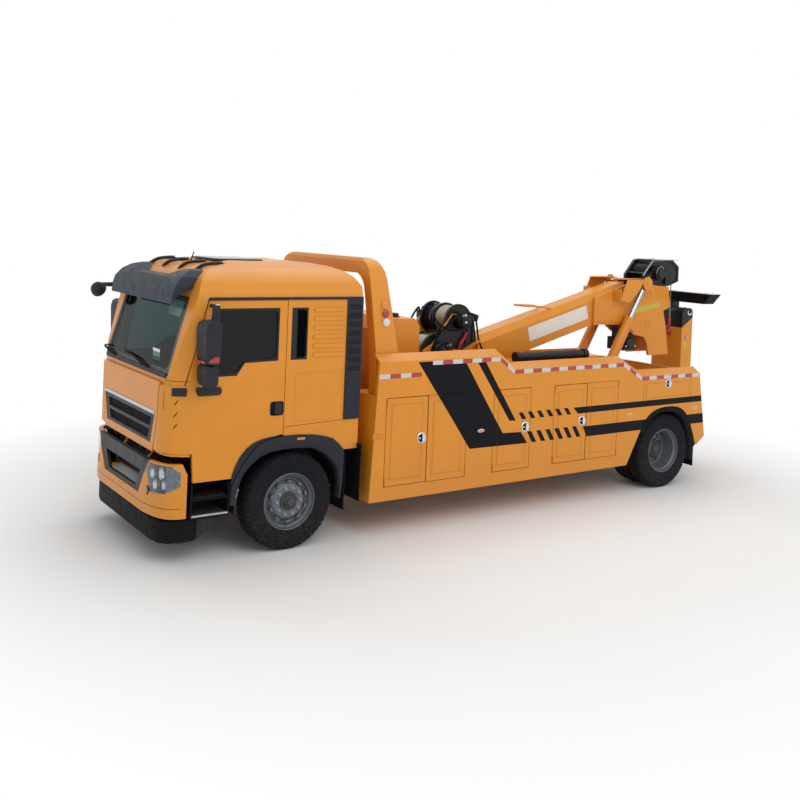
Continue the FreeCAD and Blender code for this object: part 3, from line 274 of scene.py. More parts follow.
class Shape:
    """Collects solids in the truck's own frame and makes one piece of them."""

    def __init__(self):
        self.points = []
        self.faces = []

    def grid(self, rings, closed=True, caps=True):
        """Rings of equal count, joined by quads; closed rings are capped at both ends."""
        start = len(self.points)
        count = len(rings[0])
        for ring in rings:
            self.points += [tuple(p) for p in ring]
        for r in range(len(rings) - 1):
            for i in range(count if closed else count - 1):
                a, b = start + r * count + i, start + r * count + (i + 1) % count
                self.faces.append((a, b, b + count, a + count))
        if closed and caps:
            self.faces.append(tuple(start + i for i in reversed(range(count))))
            self.faces.append(tuple(start + (len(rings) - 1) * count + i for i in range(count)))
        return self

    def loop(self, rings):
        """Rings joined into a closed loop."""
        return self.grid([*rings, rings[0]], caps=False)

    def prism(self, plane, outline, low, high):
        """plane side: (y, z) drawn, x from low to high; front: (x, z), y; plan: (x, y), z.  y is a station."""
        place = {"side": lambda a, b, c: (c, a + FRONT, b), "front": lambda a, b, c: (a, c + FRONT, b),
                 "plan": lambda a, b, c: (a, b + FRONT, c)}[plane]
        return self.grid([[place(a, b, c) for a, b in outline] for c in sorted((low, high))])

    def box(self, x, y, z):
        return self.prism("plan", rect(*sorted(x), *y), *z)

    def lathe(self, axis, centre, profile, steps=48, caps=False):
        """(distance along the axis, radius) turned about an axis X, Y or Z through the centre."""
        c = Vector((centre[0], centre[1] + FRONT, centre[2]))
        k = "XYZ".index(axis)
        u, v, w = (Vector([float(i == (k + step) % 3) for i in range(3)]) for step in range(3))
        turns = [2 * math.pi * i / steps for i in range(steps)]
        rings = [[c + u * along + (v * math.cos(t) + w * math.sin(t)) * radius for t in turns]
                 for along, radius in profile]
        return self.grid(rings, True, caps)

    def torus(self, axis, centre, profile, steps=48):
        """A closed section turned about an axis."""
        return self.lathe(axis, centre, [*profile, profile[0]], steps)

    def disc(self, axis, centre, low, high, radius, steps=32):
        return self.lathe(axis, centre, [(low, radius), (high, radius)], steps, True)

    def tube(self, path, radius, steps=12, smooth=0):
        """A round bar along points (x, station, z), rounded by sampling when smooth > 0."""
        points = [Vector((x, y + FRONT, z)) for x, y, z in path]
        if smooth:
            points = curve_points(points, smooth)
        rings = []
        side = None
        for i, p in enumerate(points):
            ahead = (points[min(i + 1, len(points) - 1)] - points[max(i - 1, 0)]).normalized()
            if side is None:
                side = ahead.orthogonal().normalized()
            side = (side - ahead * side.dot(ahead)).normalized()
            other = ahead.cross(side)
            size = radius
            if isinstance(radius, list):
                at = i / (len(points) - 1) * (len(radius) - 1)
                k = min(int(at), len(radius) - 2)
                size = radius[k] + (radius[k + 1] - radius[k]) * (at - k)
            rings.append([p + (side * math.cos(t) + other * math.sin(t)) * size
                          for t in (2 * math.pi * k / steps for k in range(steps))])
        return self.grid(rings)

    def move(self, matrix):
        self.points = [tuple(matrix @ Vector(p)) for p in self.points]
        return self

    def made(self, name, look, smooth=30):
        """The mesh object alone, on no body."""
        mesh = bpy.data.meshes.new(name)
        mesh.from_pydata(self.points, [], self.faces)
        work = bmesh.new()
        work.from_mesh(mesh)
        bmesh.ops.remove_doubles(work, verts=work.verts, dist=1e-6)
        bmesh.ops.recalc_face_normals(work, faces=work.faces)
        work.to_mesh(mesh)
        work.free()
        piece = bpy.data.objects.new(name, mesh)
        bpy.context.scene.collection.objects.link(piece)
        mesh.materials.append(look)
        if smooth:
            mesh.shade_smooth()
            mesh.set_sharp_from_angle(angle=math.radians(smooth))
        return piece

    def done(self, name, body, look, slot=None, bevel=0.0, smooth=30, segments=2):
        """The finished piece, riding on its body."""
        piece = self.made(name, look, smooth)
        if bevel:
            bevelled(piece, bevel, segments, harden=bool(smooth))
        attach(piece, body)
        return piece


def curve_points(points, steps):
    """Catmull-Rom points through the given ones."""
    ends = [points[0] * 2 - points[1]] + list(points) + [points[-1] * 2 - points[-2]]
    made = []
    for i in range(1, len(ends) - 2):
        a, b, c, d = ends[i - 1:i + 3]
        for k in range(steps):
            t = k / steps
            made.append(0.5 * ((2 * b) + (c - a) * t + (2 * a - 5 * b + 4 * c - d) * t * t
                               + (3 * b - a - 3 * c + d) * t ** 3))
    return made + [ends[-2]]


def between(rows, x):
    """The value of a broken line at x."""
    for (a, p), (b, q) in zip(rows, rows[1:]):
        if x <= b:
            return p if b == a else p + (q - p) * (max(x, a) - a) / (b - a)
    return rows[-1][1]


slots = {part["node"]: part["material_slot"] for part in frame["record"]["subparts"]}
for name, thing in NODES.items():
    thing.data.materials.clear()
    thing.data.materials.append(SLOTS[slots[name]][0])
# the entry steps and the crossbar take the near-black as painted shade
for name, look in (("entry_steps", BLACK_AND_SHADE), ("crossbar", BLACK_AND_SHADE), ("lift_rods", ROD), ("mudflaps", BLACK_AND_SHADE),
                   ("door_glass_left", SIDE_GLASS), ("door_glass_right", SIDE_GLASS)):
    NODES[name].data.materials[0] = look

# ------------------------------------------------------------------ camera, light and floor
scene = bpy.context.scene
scene.view_settings.view_transform = "Standard"

# the photo's camera, as solved from the truck's own sizes
lens = bpy.data.cameras.new("camera")
lens.sensor_width = 36
lens.lens = 44.216
lens.shift_x = -0.0203
lens.shift_y = -0.2026
lens.clip_end = 200
camera = bpy.data.objects.new("camera", lens)
back = Vector((0.8167, -0.5769, 0.0080))
right = Vector((0.5761, 0.8162, 0.0420))
up = Vector((-0.0307, -0.0297, 0.9991))
camera.matrix_world = Matrix.Translation((10.619, -8.228, 3.549)) @ Matrix((right, up, back)).transposed().to_4x4()
scene.collection.objects.link(camera)
scene.camera = camera

# a white background, that lights the scene less than it shows
SKY_LIGHT = 0.6
world = bpy.data.worlds.new("studio")
world.use_nodes = True
scene.world = world
sky = world.node_tree
rays = sky.nodes.new("ShaderNodeLightPath").outputs
seen = rays["Is Camera Ray"]
for kind in ("Is Glossy Ray", "Is Transmission Ray"):
    either = sky.nodes.new("ShaderNodeMath")
    either.operation = "MAXIMUM"
    plug(sky, either.inputs[0], seen)
    plug(sky, either.inputs[1], rays[kind])
    seen = either.outputs[0]
strength = sky.nodes.new("ShaderNodeMapRange")
strength.inputs["To Min"].default_value = SKY_LIGHT
plug(sky, strength.inputs[0], seen)
plug(sky, sky.nodes["Background"].inputs["Strength"], strength.outputs[0])
sky.nodes["Background"].inputs["Color"].default_value = (1, 1, 1, 1)

for name, place, aim, size, power in (("key", (11, -3, 12), (0, -1, 1.2), 9, 430),
                                      ("fill", (13, 3, 7), (0, 0, 1.2), 8, 180),
                                      ("top", (-3, 2, 13), (0, 0, 1.0), 12, 540)):
    lamp = bpy.data.lights.new(name, "AREA")
    lamp.energy = power
    lamp.size = size
    holder = bpy.data.objects.new(name, lamp)
    holder.location = place
    holder.rotation_mode = "QUATERNION"
    holder.rotation_quaternion = (Vector(place) - Vector(aim)).to_track_quat("Z", "Y")
    scene.collection.objects.link(holder)

# the floor fades to white away from the truck
paving = Graph("floor")
far = paving.add("VectorMath", {0: paving.place}, operation="LENGTH").outputs["Value"]
paving.set(Base_Color=paving.mix(paving.noise(0.6), srgb(240, 240, 239), srgb(246, 246, 245)), Roughness=0.9)
glow = paving.add("Emission", {"Color": (1, 1, 1, 1), "Strength": 1.0}).outputs[0]
blend = paving.add("MixShader", {0: paving.ramp(far, 4.6, 7.5), 1: paving.shader.outputs[0], 2: glow}).outputs[0]
plug(paving.tree, paving.tree.nodes["Material Output"].inputs[0], blend)
floor_mesh = bpy.data.meshes.new("floor")
floor_mesh.from_pydata([(*corner, 0) for corner in rect(-60, 60, -60, 60)], [], [(0, 1, 2, 3)])
floor_mesh.materials.append(paving.material)
floor = bpy.data.objects.new("floor", floor_mesh)
scene.collection.objects.link(floor)


# ------------------------------------------------------------------ wheels
AXLE_Z = 0.53
FRONT_Y, REAR_Y = 1.487, 7.487  # the axles' stations
# share of the half width, radius, how much deeper a notch is
TYRE_SIDE = [(0.75, 0.297, 0), (0.85, 0.302, 0), (0.92, 0.316, 0), (0.962, 0.34, 0), (0.972, 0.368, 0),
             (0.988, 0.372, 0), (1.0, 0.4, 0), (1.0, 0.43, 0), (0.986, 0.435, 0), (0.986, 0.444, 0), (0.998, 0.45, 0),
             (0.994, 0.466, 0), (0.984, 0.48, 0.004), (0.93, 0.5, 0.009), (0.86, 0.5135, 0.012), (0.78, 0.5225, 0.012),
             (0.7, 0.5275, 0.012), (0.54, 0.529, 0.006), (0.52, 0.517, 0), (0.46, 0.517, 0), (0.44, 0.5295, 0.003),
             (0.2, 0.53, 0.003), (0.18, 0.517, 0), (0.13, 0.517, 0), (0.11, 0.53, 0.003)]


def add_tyre(shape, x, y, half, lugs=54):
    """Each lug is a block followed by a straight-walled notch."""
    turns = [(2 * math.pi * (k + share) / lugs, deep) for k in range(lugs)
             for share, deep in ((0, 0), (0.74, 0), (0.78, 1), (0.96, 1))]
    rows = TYRE_SIDE + [(-a, r, d) for a, r, d in TYRE_SIDE[::-1]]
    shape.loop([[(x + share * half, y + FRONT + (radius - depth * deep) * math.cos(t),
                  AXLE_Z + (radius - depth * deep) * math.sin(t)) for t, deep in turns]
                for share, radius, depth in rows])


def carve(piece, cutter_shape):
    """Cuts the solids of a shape out of a piece."""
    cutter = cutter_shape.made("cutter", CAST)
    step = piece.modifiers.new("carve", "BOOLEAN")
    step.object = cutter
    step.solver = "EXACT"
    bpy.context.view_layer.update()
    old = piece.data
    carved = bpy.data.meshes.new_from_object(piece.evaluated_get(bpy.context.evaluated_depsgraph_get()))
    piece.modifiers.clear()
    piece.data = carved
    carved.name = old.name
    bpy.data.meshes.remove(old)
    bpy.data.objects.remove(cutter)
    carved.shade_smooth()
    carved.set_sharp_from_angle(angle=math.radians(30))


def around(count, radius, offset=0.0):
    """(across, up) of places set evenly in a circle."""
    turns = (2 * math.pi * (k + offset) / count for k in range(count))
    return [(radius * math.cos(t), radius * math.sin(t)) for t in turns]


def oval_holes(x0, x1, y, circle, tangential, radial):
    """Ten oval bars in a circle, to cut hand holes with."""
    holes = Shape()
    for c, s in around(10, 1, 0.5):
        ring = [(circle + radial * a, tangential * b) for a, b in around(20, 1)]
        holes.grid([[(x, y + FRONT + out * c - across * s, AXLE_Z + out * s + across * c) for out, across in ring]
                    for x in (x0, x1)])
    return holes


def ring_of(shape, x, y, circle, count, offset, profile):
    """Nuts or studs, set in a circle on a wheel."""
    for dy, dz in around(count, circle, offset):
        shape.lathe("X", (x, y + dy, AXLE_Z + dz), profile, 6, True)


FRONT_DISC = [(0.1, 0.2975), (0.128, 0.3), (0.132, 0.305), (0.127, 0.311), (0.118, 0.3095), (0.114, 0.302),
              (0.121, 0.291), (0.104, 0.287), (0.092, 0.278), (0.082, 0.266), (0.058, 0.261), (0.044, 0.252),
              (0.038, 0.243), (0.04, 0.232), (0.062, 0.212), (0.084, 0.195), (0.093, 0.186), (0.098, 0.176),
              (0.099, 0.165), (0.099, 0.102), (0.088, 0.102), (0.088, 0.172), (0.076, 0.186), (0.03, 0.228),
              (0.026, 0.245), (0.03, 0.262), (-0.105, 0.268), (-0.112, 0.29), (-0.118, 0.306), (-0.124, 0.306),
              (-0.126, 0.298), (-0.105, 0.2965)]
FRONT_HUB = [(0.085, 0.104), (0.108, 0.104), (0.113, 0.1), (0.113, 0.076), (0.119, 0.07), (0.139, 0.064),
             (0.145, 0.056), (0.145, 0.046), (0.163, 0.043), (0.169, 0.036), (0.171, 0.02), (0.171, 0.0)]
REAR_DISC = [(0.255, 0.2975), (0.28, 0.3), (0.284, 0.305), (0.279, 0.311), (0.27, 0.3095), (0.266, 0.302),
             (0.273, 0.291), (0.25, 0.287), (0.236, 0.276), (0.226, 0.268), (0.07, 0.264), (0.05, 0.254), (0.041, 0.24),
             (0.04, 0.13), (0.028, 0.13), (0.028, 0.24), (0.022, 0.262), (-0.23, 0.268), (-0.255, 0.29), (-0.27, 0.309),
             (-0.279, 0.309), (-0.28, 0.298), (-0.252, 0.2965), (-0.03, 0.275), (0.03, 0.275), (0.05, 0.2965)]
REAR_HUB = [(0.03, 0.142), (0.052, 0.142), (0.056, 0.136), (0.118, 0.13), (0.126, 0.122), (0.128, 0.104),
            (0.134, 0.098), (0.134, 0.07), (0.15, 0.064), (0.156, 0.052), (0.157, 0.0)]
NUT = [(0, 0.019), (0.003, 0.0205), (0.005, 0.0165), (0.022, 0.0165), (0.025, 0.013), (0.025, 0.0085), (0.036, 0.0085),
       (0.037, 0.0)]
STUD = [(0, 0.011), (0.009, 0.011), (0.011, 0.006), (0.011, 0.0)]


# per axle: station, x, tyres' offsets and half width, disc, its holes (depth, circle, size), nuts' face and circle,
# hub, studs (depth, circle, count, offset)
AXLES = {"front": (FRONT_Y, 1.023, "front_wheel_", (0,), 0.14, FRONT_DISC, (0.11, 0.2175, 0.027, 0.0125),
                   (0.099, 0.146), FRONT_HUB, [(0.113, 0.088, 10, 0.5)]),
         "rear": (REAR_Y, 0.936, "rear_wheels_", (-0.16, 0.16), 0.13, REAR_DISC, (0.08, 0.205, 0.026, 0.017),
                  (0.04, 0.1675), REAR_HUB, [(0.128, 0.113, 12, 0.5), (0.134, 0.084, 8, 0)])}
VALVE_TURN = 0.9
for side, sign in SIDES:
    for end, (y, out, prefix, offsets, half, disc, hole, (face, circle), hub, studs) in AXLES.items():
        body, x = prefix + side, sign * out
        rubber = Shape()
        for offset in offsets:
            add_tyre(rubber, x + sign * offset, y, half)
        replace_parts(rubber.done(f"tyre_{end}_{side}_tread", body, TYRE, smooth=28), f"tyre_{end}_{side}")

        rim = Shape().torus("X", (x, y, AXLE_Z), flipped(disc, sign), 96).done(f"rim_{end}_{side}_disc", body, RIM)
        carve(rim, oval_holes(x, x + sign * hole[0], y, *hole[1:]))
        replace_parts(rim, f"rim_{end}_{side}")

        nuts = Shape()
        ring_of(nuts, x + sign * face, y, circle, 10, 0, flipped(NUT, sign))
        nuts.done(f"wheel_nuts_{end}_{side}", body, STEEL, bevel=0.001)

        boss = Shape().lathe("X", (x, y, AXLE_Z), flipped(hub, sign), 64, True)
        for depth, *ring in studs:
            ring_of(boss, x + sign * depth, y, *ring, flipped(STUD, sign))
        boss.done(f"hub_{end}_{side}", body, CAST)

        foot = (x + sign * 0.1, y + 0.262 * math.cos(VALVE_TURN), AXLE_Z + 0.262 * math.sin(VALVE_TURN))
        valve = Shape().tube([foot, (foot[0] + sign * 0.022, foot[1] - 0.012, foot[2] - 0.016)], 0.004, 8)
        valve.done(f"valve_{end}_{side}", body, BLACK)


# ------------------------------------------------------------------ body sides: panels, stripes, tape, locks
WALL = 1.25  # half width of the body
PANEL = 0.0035  # how far the doors' raised panels stand out
# name, front, rear, bottom, top, body (fixed panels ride on the chassis)
DOORS = [("one", 2.648, 3.232, 0.578, 1.592, "locker_one_"), ("one_fixed", 3.25, 3.82, 0.578, 1.592, None),
         ("two", 4.258, 4.862, 0.578, 1.592, "locker_two_"), ("three", 5.278, 5.862, 0.578, 1.592, "locker_three_"),
         ("three_fixed", 5.88, 6.46, 0.578, 1.592, None), ("four", 6.988, 7.992, 1.268, 1.572, "locker_four_")]


def door_body(door, side):
    return door[5] + side if door[5] else "chassis"


def named(name, body, side):
    """A piece's name, that gives its body and side."""
    return f"{name}_{body}" if body.endswith(side) else f"{name}_{body}_{side}"


def plate_of(door):
    """A door's raised panel: front, rear, bottom, top."""
    inset = 0.062 if door[4] - door[3] > 0.5 else 0.04
    return (door[1] + inset, door[2] - inset, door[3] + inset, door[4] - inset)


def cells(side):
    """Flat rectangles that make up a body side: (front, rear, bottom, top, body, how far out)."""
    made = []
    for door in DOORS:
        body = door_body(door, side)
        a, b, c, d = door[1:5]
        p, q, r, s = plate_of(door)
        made.append((p, q, r, s, body, WALL + PANEL))
        made += [(a, p, c, d, body, WALL), (q, b, c, d, body, WALL), (p, q, c, r, body, WALL), (p, q, s, d, body, WALL)]
    stations = sorted({2.3} | {v for d in DOORS for v in d[1:3]} | {8.4})
    for low, high in zip(stations, stations[1:]):
        taken = sorted((d[3], d[4]) for d in DOORS if d[1] < (low + high) / 2 < d[2])
        floor = 0.3
        for bottom, top in taken:
            made.append((low, high, floor, bottom, "chassis", WALL))
            floor = top
        made.append((low, high, floor, 2.1, "chassis", WALL))
    return made


def clipped(polygon, y0, y1, z0, z1):
    """The part of a convex polygon inside a rectangle."""
    for axis, limit, keep in ((0, y0, 1), (0, y1, -1), (1, z0, 1), (1, z1, -1)):
        made = []
        for i, b in enumerate(polygon):
            a = polygon[i - 1]
            in_a, in_b = (keep * (a[axis] - limit) >= 0), (keep * (b[axis] - limit) >= 0)
            if in_a != in_b:
                t = (limit - a[axis]) / (b[axis] - a[axis])
                made.append((a[0] + (b[0] - a[0]) * t, a[1] + (b[1] - a[1]) * t))
            if in_b:
                made.append(b)
        polygon = made
        if len(polygon) < 3:
            return []
    return polygon


def area_of(polygon):
    """A polygon's area, by the shoelace formula."""
    return abs(sum(a[0] * b[1] - b[0] * a[1] for a, b in zip(polygon, polygon[1:] + polygon[:1]))) / 2


SLIVER = 4e-6  # square metres; smaller films are left out
FILM_SUNK = 0.0004


def paint(name, polygons, look, proud=0.0009):
    """Thin film on the body sides, cut where doors and raised panels end, one piece a body."""
    for side, sign in SIDES:
        films = {}
        for polygon in polygons:
            for y0, y1, z0, z1, body, x in cells(side):
                part = clipped(polygon, y0, y1, z0, z1)
                if part and area_of(part) > SLIVER:
                    films.setdefault(body, Shape()).prism("side", part, sign * (x - FILM_SUNK), sign * (x + proud))
        for body, shape in films.items():
            shape.done(named(name, body, side), body, look, smooth=0)


for side, sign in SIDES:
    raised = {}
    for door in DOORS:
        p, q, r, s = plate_of(door)
        shape = raised.setdefault(door_body(door, side), Shape())
        shape.box((sign * (WALL - 0.001), sign * (WALL + PANEL)), (p, q), (r, s))
    for body, shape in raised.items():
        name = body if body != "chassis" else f"fixed_{side}"
        shape.done(f"raised_panel_{name}", body, YELLOW, bevel=0.003)

# thin darker-orange films just inside each raised panel's edge: painted shade along it
edge_shades = []
for door in DOORS:
    p, q, r, s = plate_of(door)
    p, q, r, s = p + 0.012, q - 0.012, r + 0.012, s - 0.012
    edge_shades += [rect(p, q, r, r + 0.005), rect(p, q, s - 0.005, s), rect(p, p + 0.006, r, s), rect(q - 0.006, q, r, s)]
paint("pressed_lines", edge_shades, PANEL_EDGE_SHADE, proud=0.0006)

UPPER_DASH = [(4.66, 1.29), (4.73, 1.29), (4.795, 1.2), (4.725, 1.2)]
LOWER_DASH = [(4.82, 1.035), (4.895, 1.035), (4.985, 0.89), (4.91, 0.89)]
DASH_PITCH = 0.158
DASHES = [[(y + DASH_PITCH * k, z) for y, z in dash] for dash in (UPPER_DASH, LOWER_DASH) for k in range(6)]
STRIPES = [[(3.07, 2.0), (3.76, 2.0), (4.41, 1.05), (4.515, 0.893), (3.89, 0.9)],
           [(4.41, 1.05), (4.71, 1.04), (4.83, 0.89), (4.515, 0.893)],
           [(3.95, 1.985), (4.075, 1.985), (4.62, 1.19), (4.51, 1.2)],
           [(5.62, 1.285), (8.235, 1.285), (8.25, 1.2), (5.71, 1.2)],
           [(5.81, 1.02), (7.081, 1.02), (6.958, 0.88), (5.89, 0.88)],
           [(7.868, 1.02), (8.282, 1.02), (8.306, 0.88), (7.972, 0.88)]]
paint("stripes", STRIPES + DASHES, STRIPE)

# red and white tape under the stepped top edge, and a short run near the front
TAPE = 0.0016  # how far it stands out
RAIL = [(3.28, 1.983), (4.33, 1.983), (4.575, 1.813), (6.56, 1.813), (6.935, 1.603), (8.16, 1.595)]
FRONT_RUN = [(2.53 + 0.148 * k, 1.852) for k in range(5)]
blocks = []
for a, b in zip(RAIL, RAIL[1:]):
    count = max(1, round(math.dist(a, b) / 0.15))
    ends = [(a[0] + (b[0] - a[0]) * k / count, a[1] + (b[1] - a[1]) * k / count) for k in range(count + 1)]
    blocks += zip(ends, ends[1:])
front_blocks = list(zip(FRONT_RUN, FRONT_RUN[1:]))
films = ([], [])
for run in (blocks, front_blocks):
    for k, ((y0, z0), (y1, z1)) in enumerate(run):
        films[k % 2].append([(y0, z0 - 0.027), (y1, z1 - 0.027), (y1, z1 + 0.025), (y0, z0 + 0.025)])
paint("tape_white", films[0], TAPE_WHITE, proud=TAPE)
paint("tape_red", films[1], TAPE_RED, proud=TAPE)

SEAMS = [rect(2.49, 2.62, 1.165, 1.169)]
for low, high in ((3.241, 3.823), (5.871, 6.463)):
    SEAMS += [rect(low, low + 0.004, 0.57, 1.6), rect(high, high + 0.004, 0.57, 1.6),
              rect(low, high + 0.004, 1.597, 1.601), rect(low, high + 0.004, 0.569, 0.573)]
paint("seams", SEAMS, SHADE, proud=0.0012)


def curved(points):
    """A flat curve through (station, z) points."""
    return curve_points([Vector((y, z, 0)) for y, z in points], 6)


# part, radius, from and over which angle, near and far face, look, bevel
LOCK_HALVES = [("paddle", 0.047, -80, 160, 0.002, 0.012, CHROME, 0.003),
               ("well", 0.05, 85, 190, 0.001, 0.003, SHADE, 0)]
LOCKS = [("one", 3.158, 1.1, "locker_one_"), ("two", 4.785, 1.1, "locker_two_"), ("three", 5.79, 1.1, "locker_three_"),
         ("four", 7.49, 1.5, "locker_four_")]
face = WALL + PANEL
MARKER_PARTS = [("base", (0.052, 0.022), -0.001, 0.006, PALE, "steel", 0.002),
                ("lens", (0.042, 0.014), 0.005, 0.014, AMBER, "signal", 0.004)]
BEZEL_RING = [(0, 0.066), (0.004, 0.066), (0.008, 0.061), (0.008, 0.055), (0.002, 0.052), (0.002, 0.0)]
SCREW = [(0, 0.004), (0.002, 0.0035), (0.0028, 0.0)]
HINGE = [(-0.045, 0.0), (-0.045, 0.007), (-0.042, 0.009), (0.042, 0.009), (0.045, 0.007), (0.045, 0.0)]
for side, sign in SIDES:
    for name, y, z, body in LOCKS:
        bezel = Shape().lathe("X", (sign * face, y, z), flipped(BEZEL_RING, sign), 48, True)
        for dy, dz in around(4, 0.0605, 0.5):
            bezel.lathe("X", (sign * (face + 0.007), y + dy, z + dz), flipped(SCREW, sign), 12, True)
        bezel.done(f"lock_bezel_{name}_{side}", body + side, CHROME)
        for part, radius, start, sweep, low, high, look, edge in LOCK_HALVES:
            half = arc((y, z), (radius, radius), start, sweep, 20)
            Shape().prism("side", half, sign * (face + low), sign * (face + high)).done(
                f"lock_{part}_{name}_{side}", body + side, look, bevel=edge)
        key = Shape().disc("X", (0, y - 0.03, z), sign * (face + 0.003), sign * (face + 0.008), 0.011, 24)
        key.done(f"lock_key_{name}_{side}", body + side, CHROME, bevel=0.001)
    hinges = {}
    for door in DOORS[:-1]:
        name, low, high, bottom, top, body = door
        pins = hinges.setdefault(door_body(door, side), Shape())
        y = (low if body else high) + 0.012
        for z in (bottom + 0.05, top - 0.05)[:1 if name in ("two", "one_fixed") else 2]:
            pins.lathe("Z", (sign * (WALL + 0.006), y, z), HINGE, 16)
    for body, pins in hinges.items():
        pins.done(named("hinge", body, side), body, YELLOW)

    for k, y in enumerate((4.06, 6.72, 8.1)):
        for part, radii, low, high, look, slot, edge in MARKER_PARTS:
            Shape().prism("side", arc((y, 1.11), radii), sign * (WALL + low), sign * (WALL + high)).done(
                f"marker_{part}_{k}_{side}", "chassis", look, slot, bevel=edge)

    # rear wheel arch liner with a rolled edge
    outline = [(6.99, 0.82), (7.1, 0.965), (7.25, 1.065), (7.49, 1.105), (7.73, 1.07), (7.88, 0.965), (8.0, 0.76),
               (8.075, 0.52), (8.11, 0.34)]
    rings = []
    outer = curved(outline)
    for i, p in enumerate(outer):
        ahead = (outer[min(i + 1, len(outer) - 1)] - outer[max(i - 1, 0)]).normalized()
        inward = Vector((ahead.y, -ahead.x, 0)) * 0.008
        q = p + inward
        lip = p - inward * 1.4
        section = ((0.66, p), (1.225, p), (1.236, lip), (1.246, p), (1.24, q), (0.66, q))
        rings.append(placed([(x, r.x, r.y) for x, r in section], sign))
    Shape().grid(rings).done(f"rear_arch_liner_{side}", "chassis", PLASTIC, smooth=40)
    opening = curved([(6.94, 0.86), (7.07, 1.035), (7.24, 1.135), (7.49, 1.17), (7.75, 1.14), (7.93, 1.015),
                      (8.075, 0.745), (8.13, 0.56)])
    rings = [placed([(x, r.x, r.y) for x, r in ((1.225, o), (WALL + 0.004, o), (WALL + 0.009, i), (1.225, i))], sign)
             for o, i in zip(opening, curved(outline[:-1]))]
    Shape().grid(rings).done(f"rear_arch_flare_{side}", "chassis", SHADE, "dark_plastic", smooth=40)
    board = Shape().box((sign * 0.7, sign * 1.235), (2.32, 2.33), (0.45, 1.1))
    board.done(f"splash_board_{side}", "chassis", BLACK_AND_SHADE, bevel=0.002)


# ------------------------------------------------------------------ cab outside
CAB_X = 1.147  # half width of the cab


def on_side(outline, low, high, sign):
    """A prism on a cab side between two distances outside its skin."""
    return "side", outline, sign * (CAB_X + low), sign * (CAB_X + high)


def rounded(y0, y1, z0, z1, r, steps=5):
    """A rectangle with rounded corners."""
    made = []
    for cy, cz, start in ((y1 - r, z1 - r, 0), (y0 + r, z1 - r, 90), (y0 + r, z0 + r, 180), (y1 - r, z0 + r, 270)):
        made += arc((cy, cz), (r, r), start, 90, steps)
    return made


def softened(points, radius, steps=5):
    """An outline with each corner replaced by an arc-like bend."""
    made = []
    count = len(points)
    for i in range(count):
        a, b, c = (Vector(points[k % count]) for k in (i - 1, i, i + 1))
        p = b + (a - b).normalized() * min(radius, (a - b).length * 0.45)
        q = b + (c - b).normalized() * min(radius, (c - b).length * 0.45)
        for k in range(steps + 1):
            t = k / steps
            made.append(tuple(p * (1 - t) ** 2 + b * 2 * t * (1 - t) + q * t ** 2))
    return made


def side_ring(outer, inner, low, high, sign):
    """A flat ring between two outlines of equal count, set on a cab side."""
    rings = [[(sign * (CAB_X + c), a + FRONT, b) for a, b in loop]
             for loop, c in ((outer, low), (outer, high), (inner, high), (inner, low))]
    return Shape().loop(rings)


def shrunk(outline, by):
    """An outline moved inwards by the same distance all round."""
    count = len(outline)
    middle = Vector((sum(p[0] for p in outline) / count, sum(p[1] for p in outline) / count))
    made = []
    for i in range(count):
        a, b, c = (Vector(outline[k % count]) for k in (i - 1, i, i + 1))
        n1, n2 = Vector((b.y - a.y, a.x - b.x)), Vector((c.y - b.y, b.x - c.x))
        n1 = n1.normalized() if n1.length > 1e-9 else n2.normalized()
        n2 = n2.normalized() if n2.length > 1e-9 else n1
        n = (n1 + n2).normalized()
        n *= by / max(0.35, n.dot(n1))  # the limit keeps sharp corners near
        made.append(tuple(b - n if (b + n - middle).length > (b - n - middle).length else b + n))
    return made


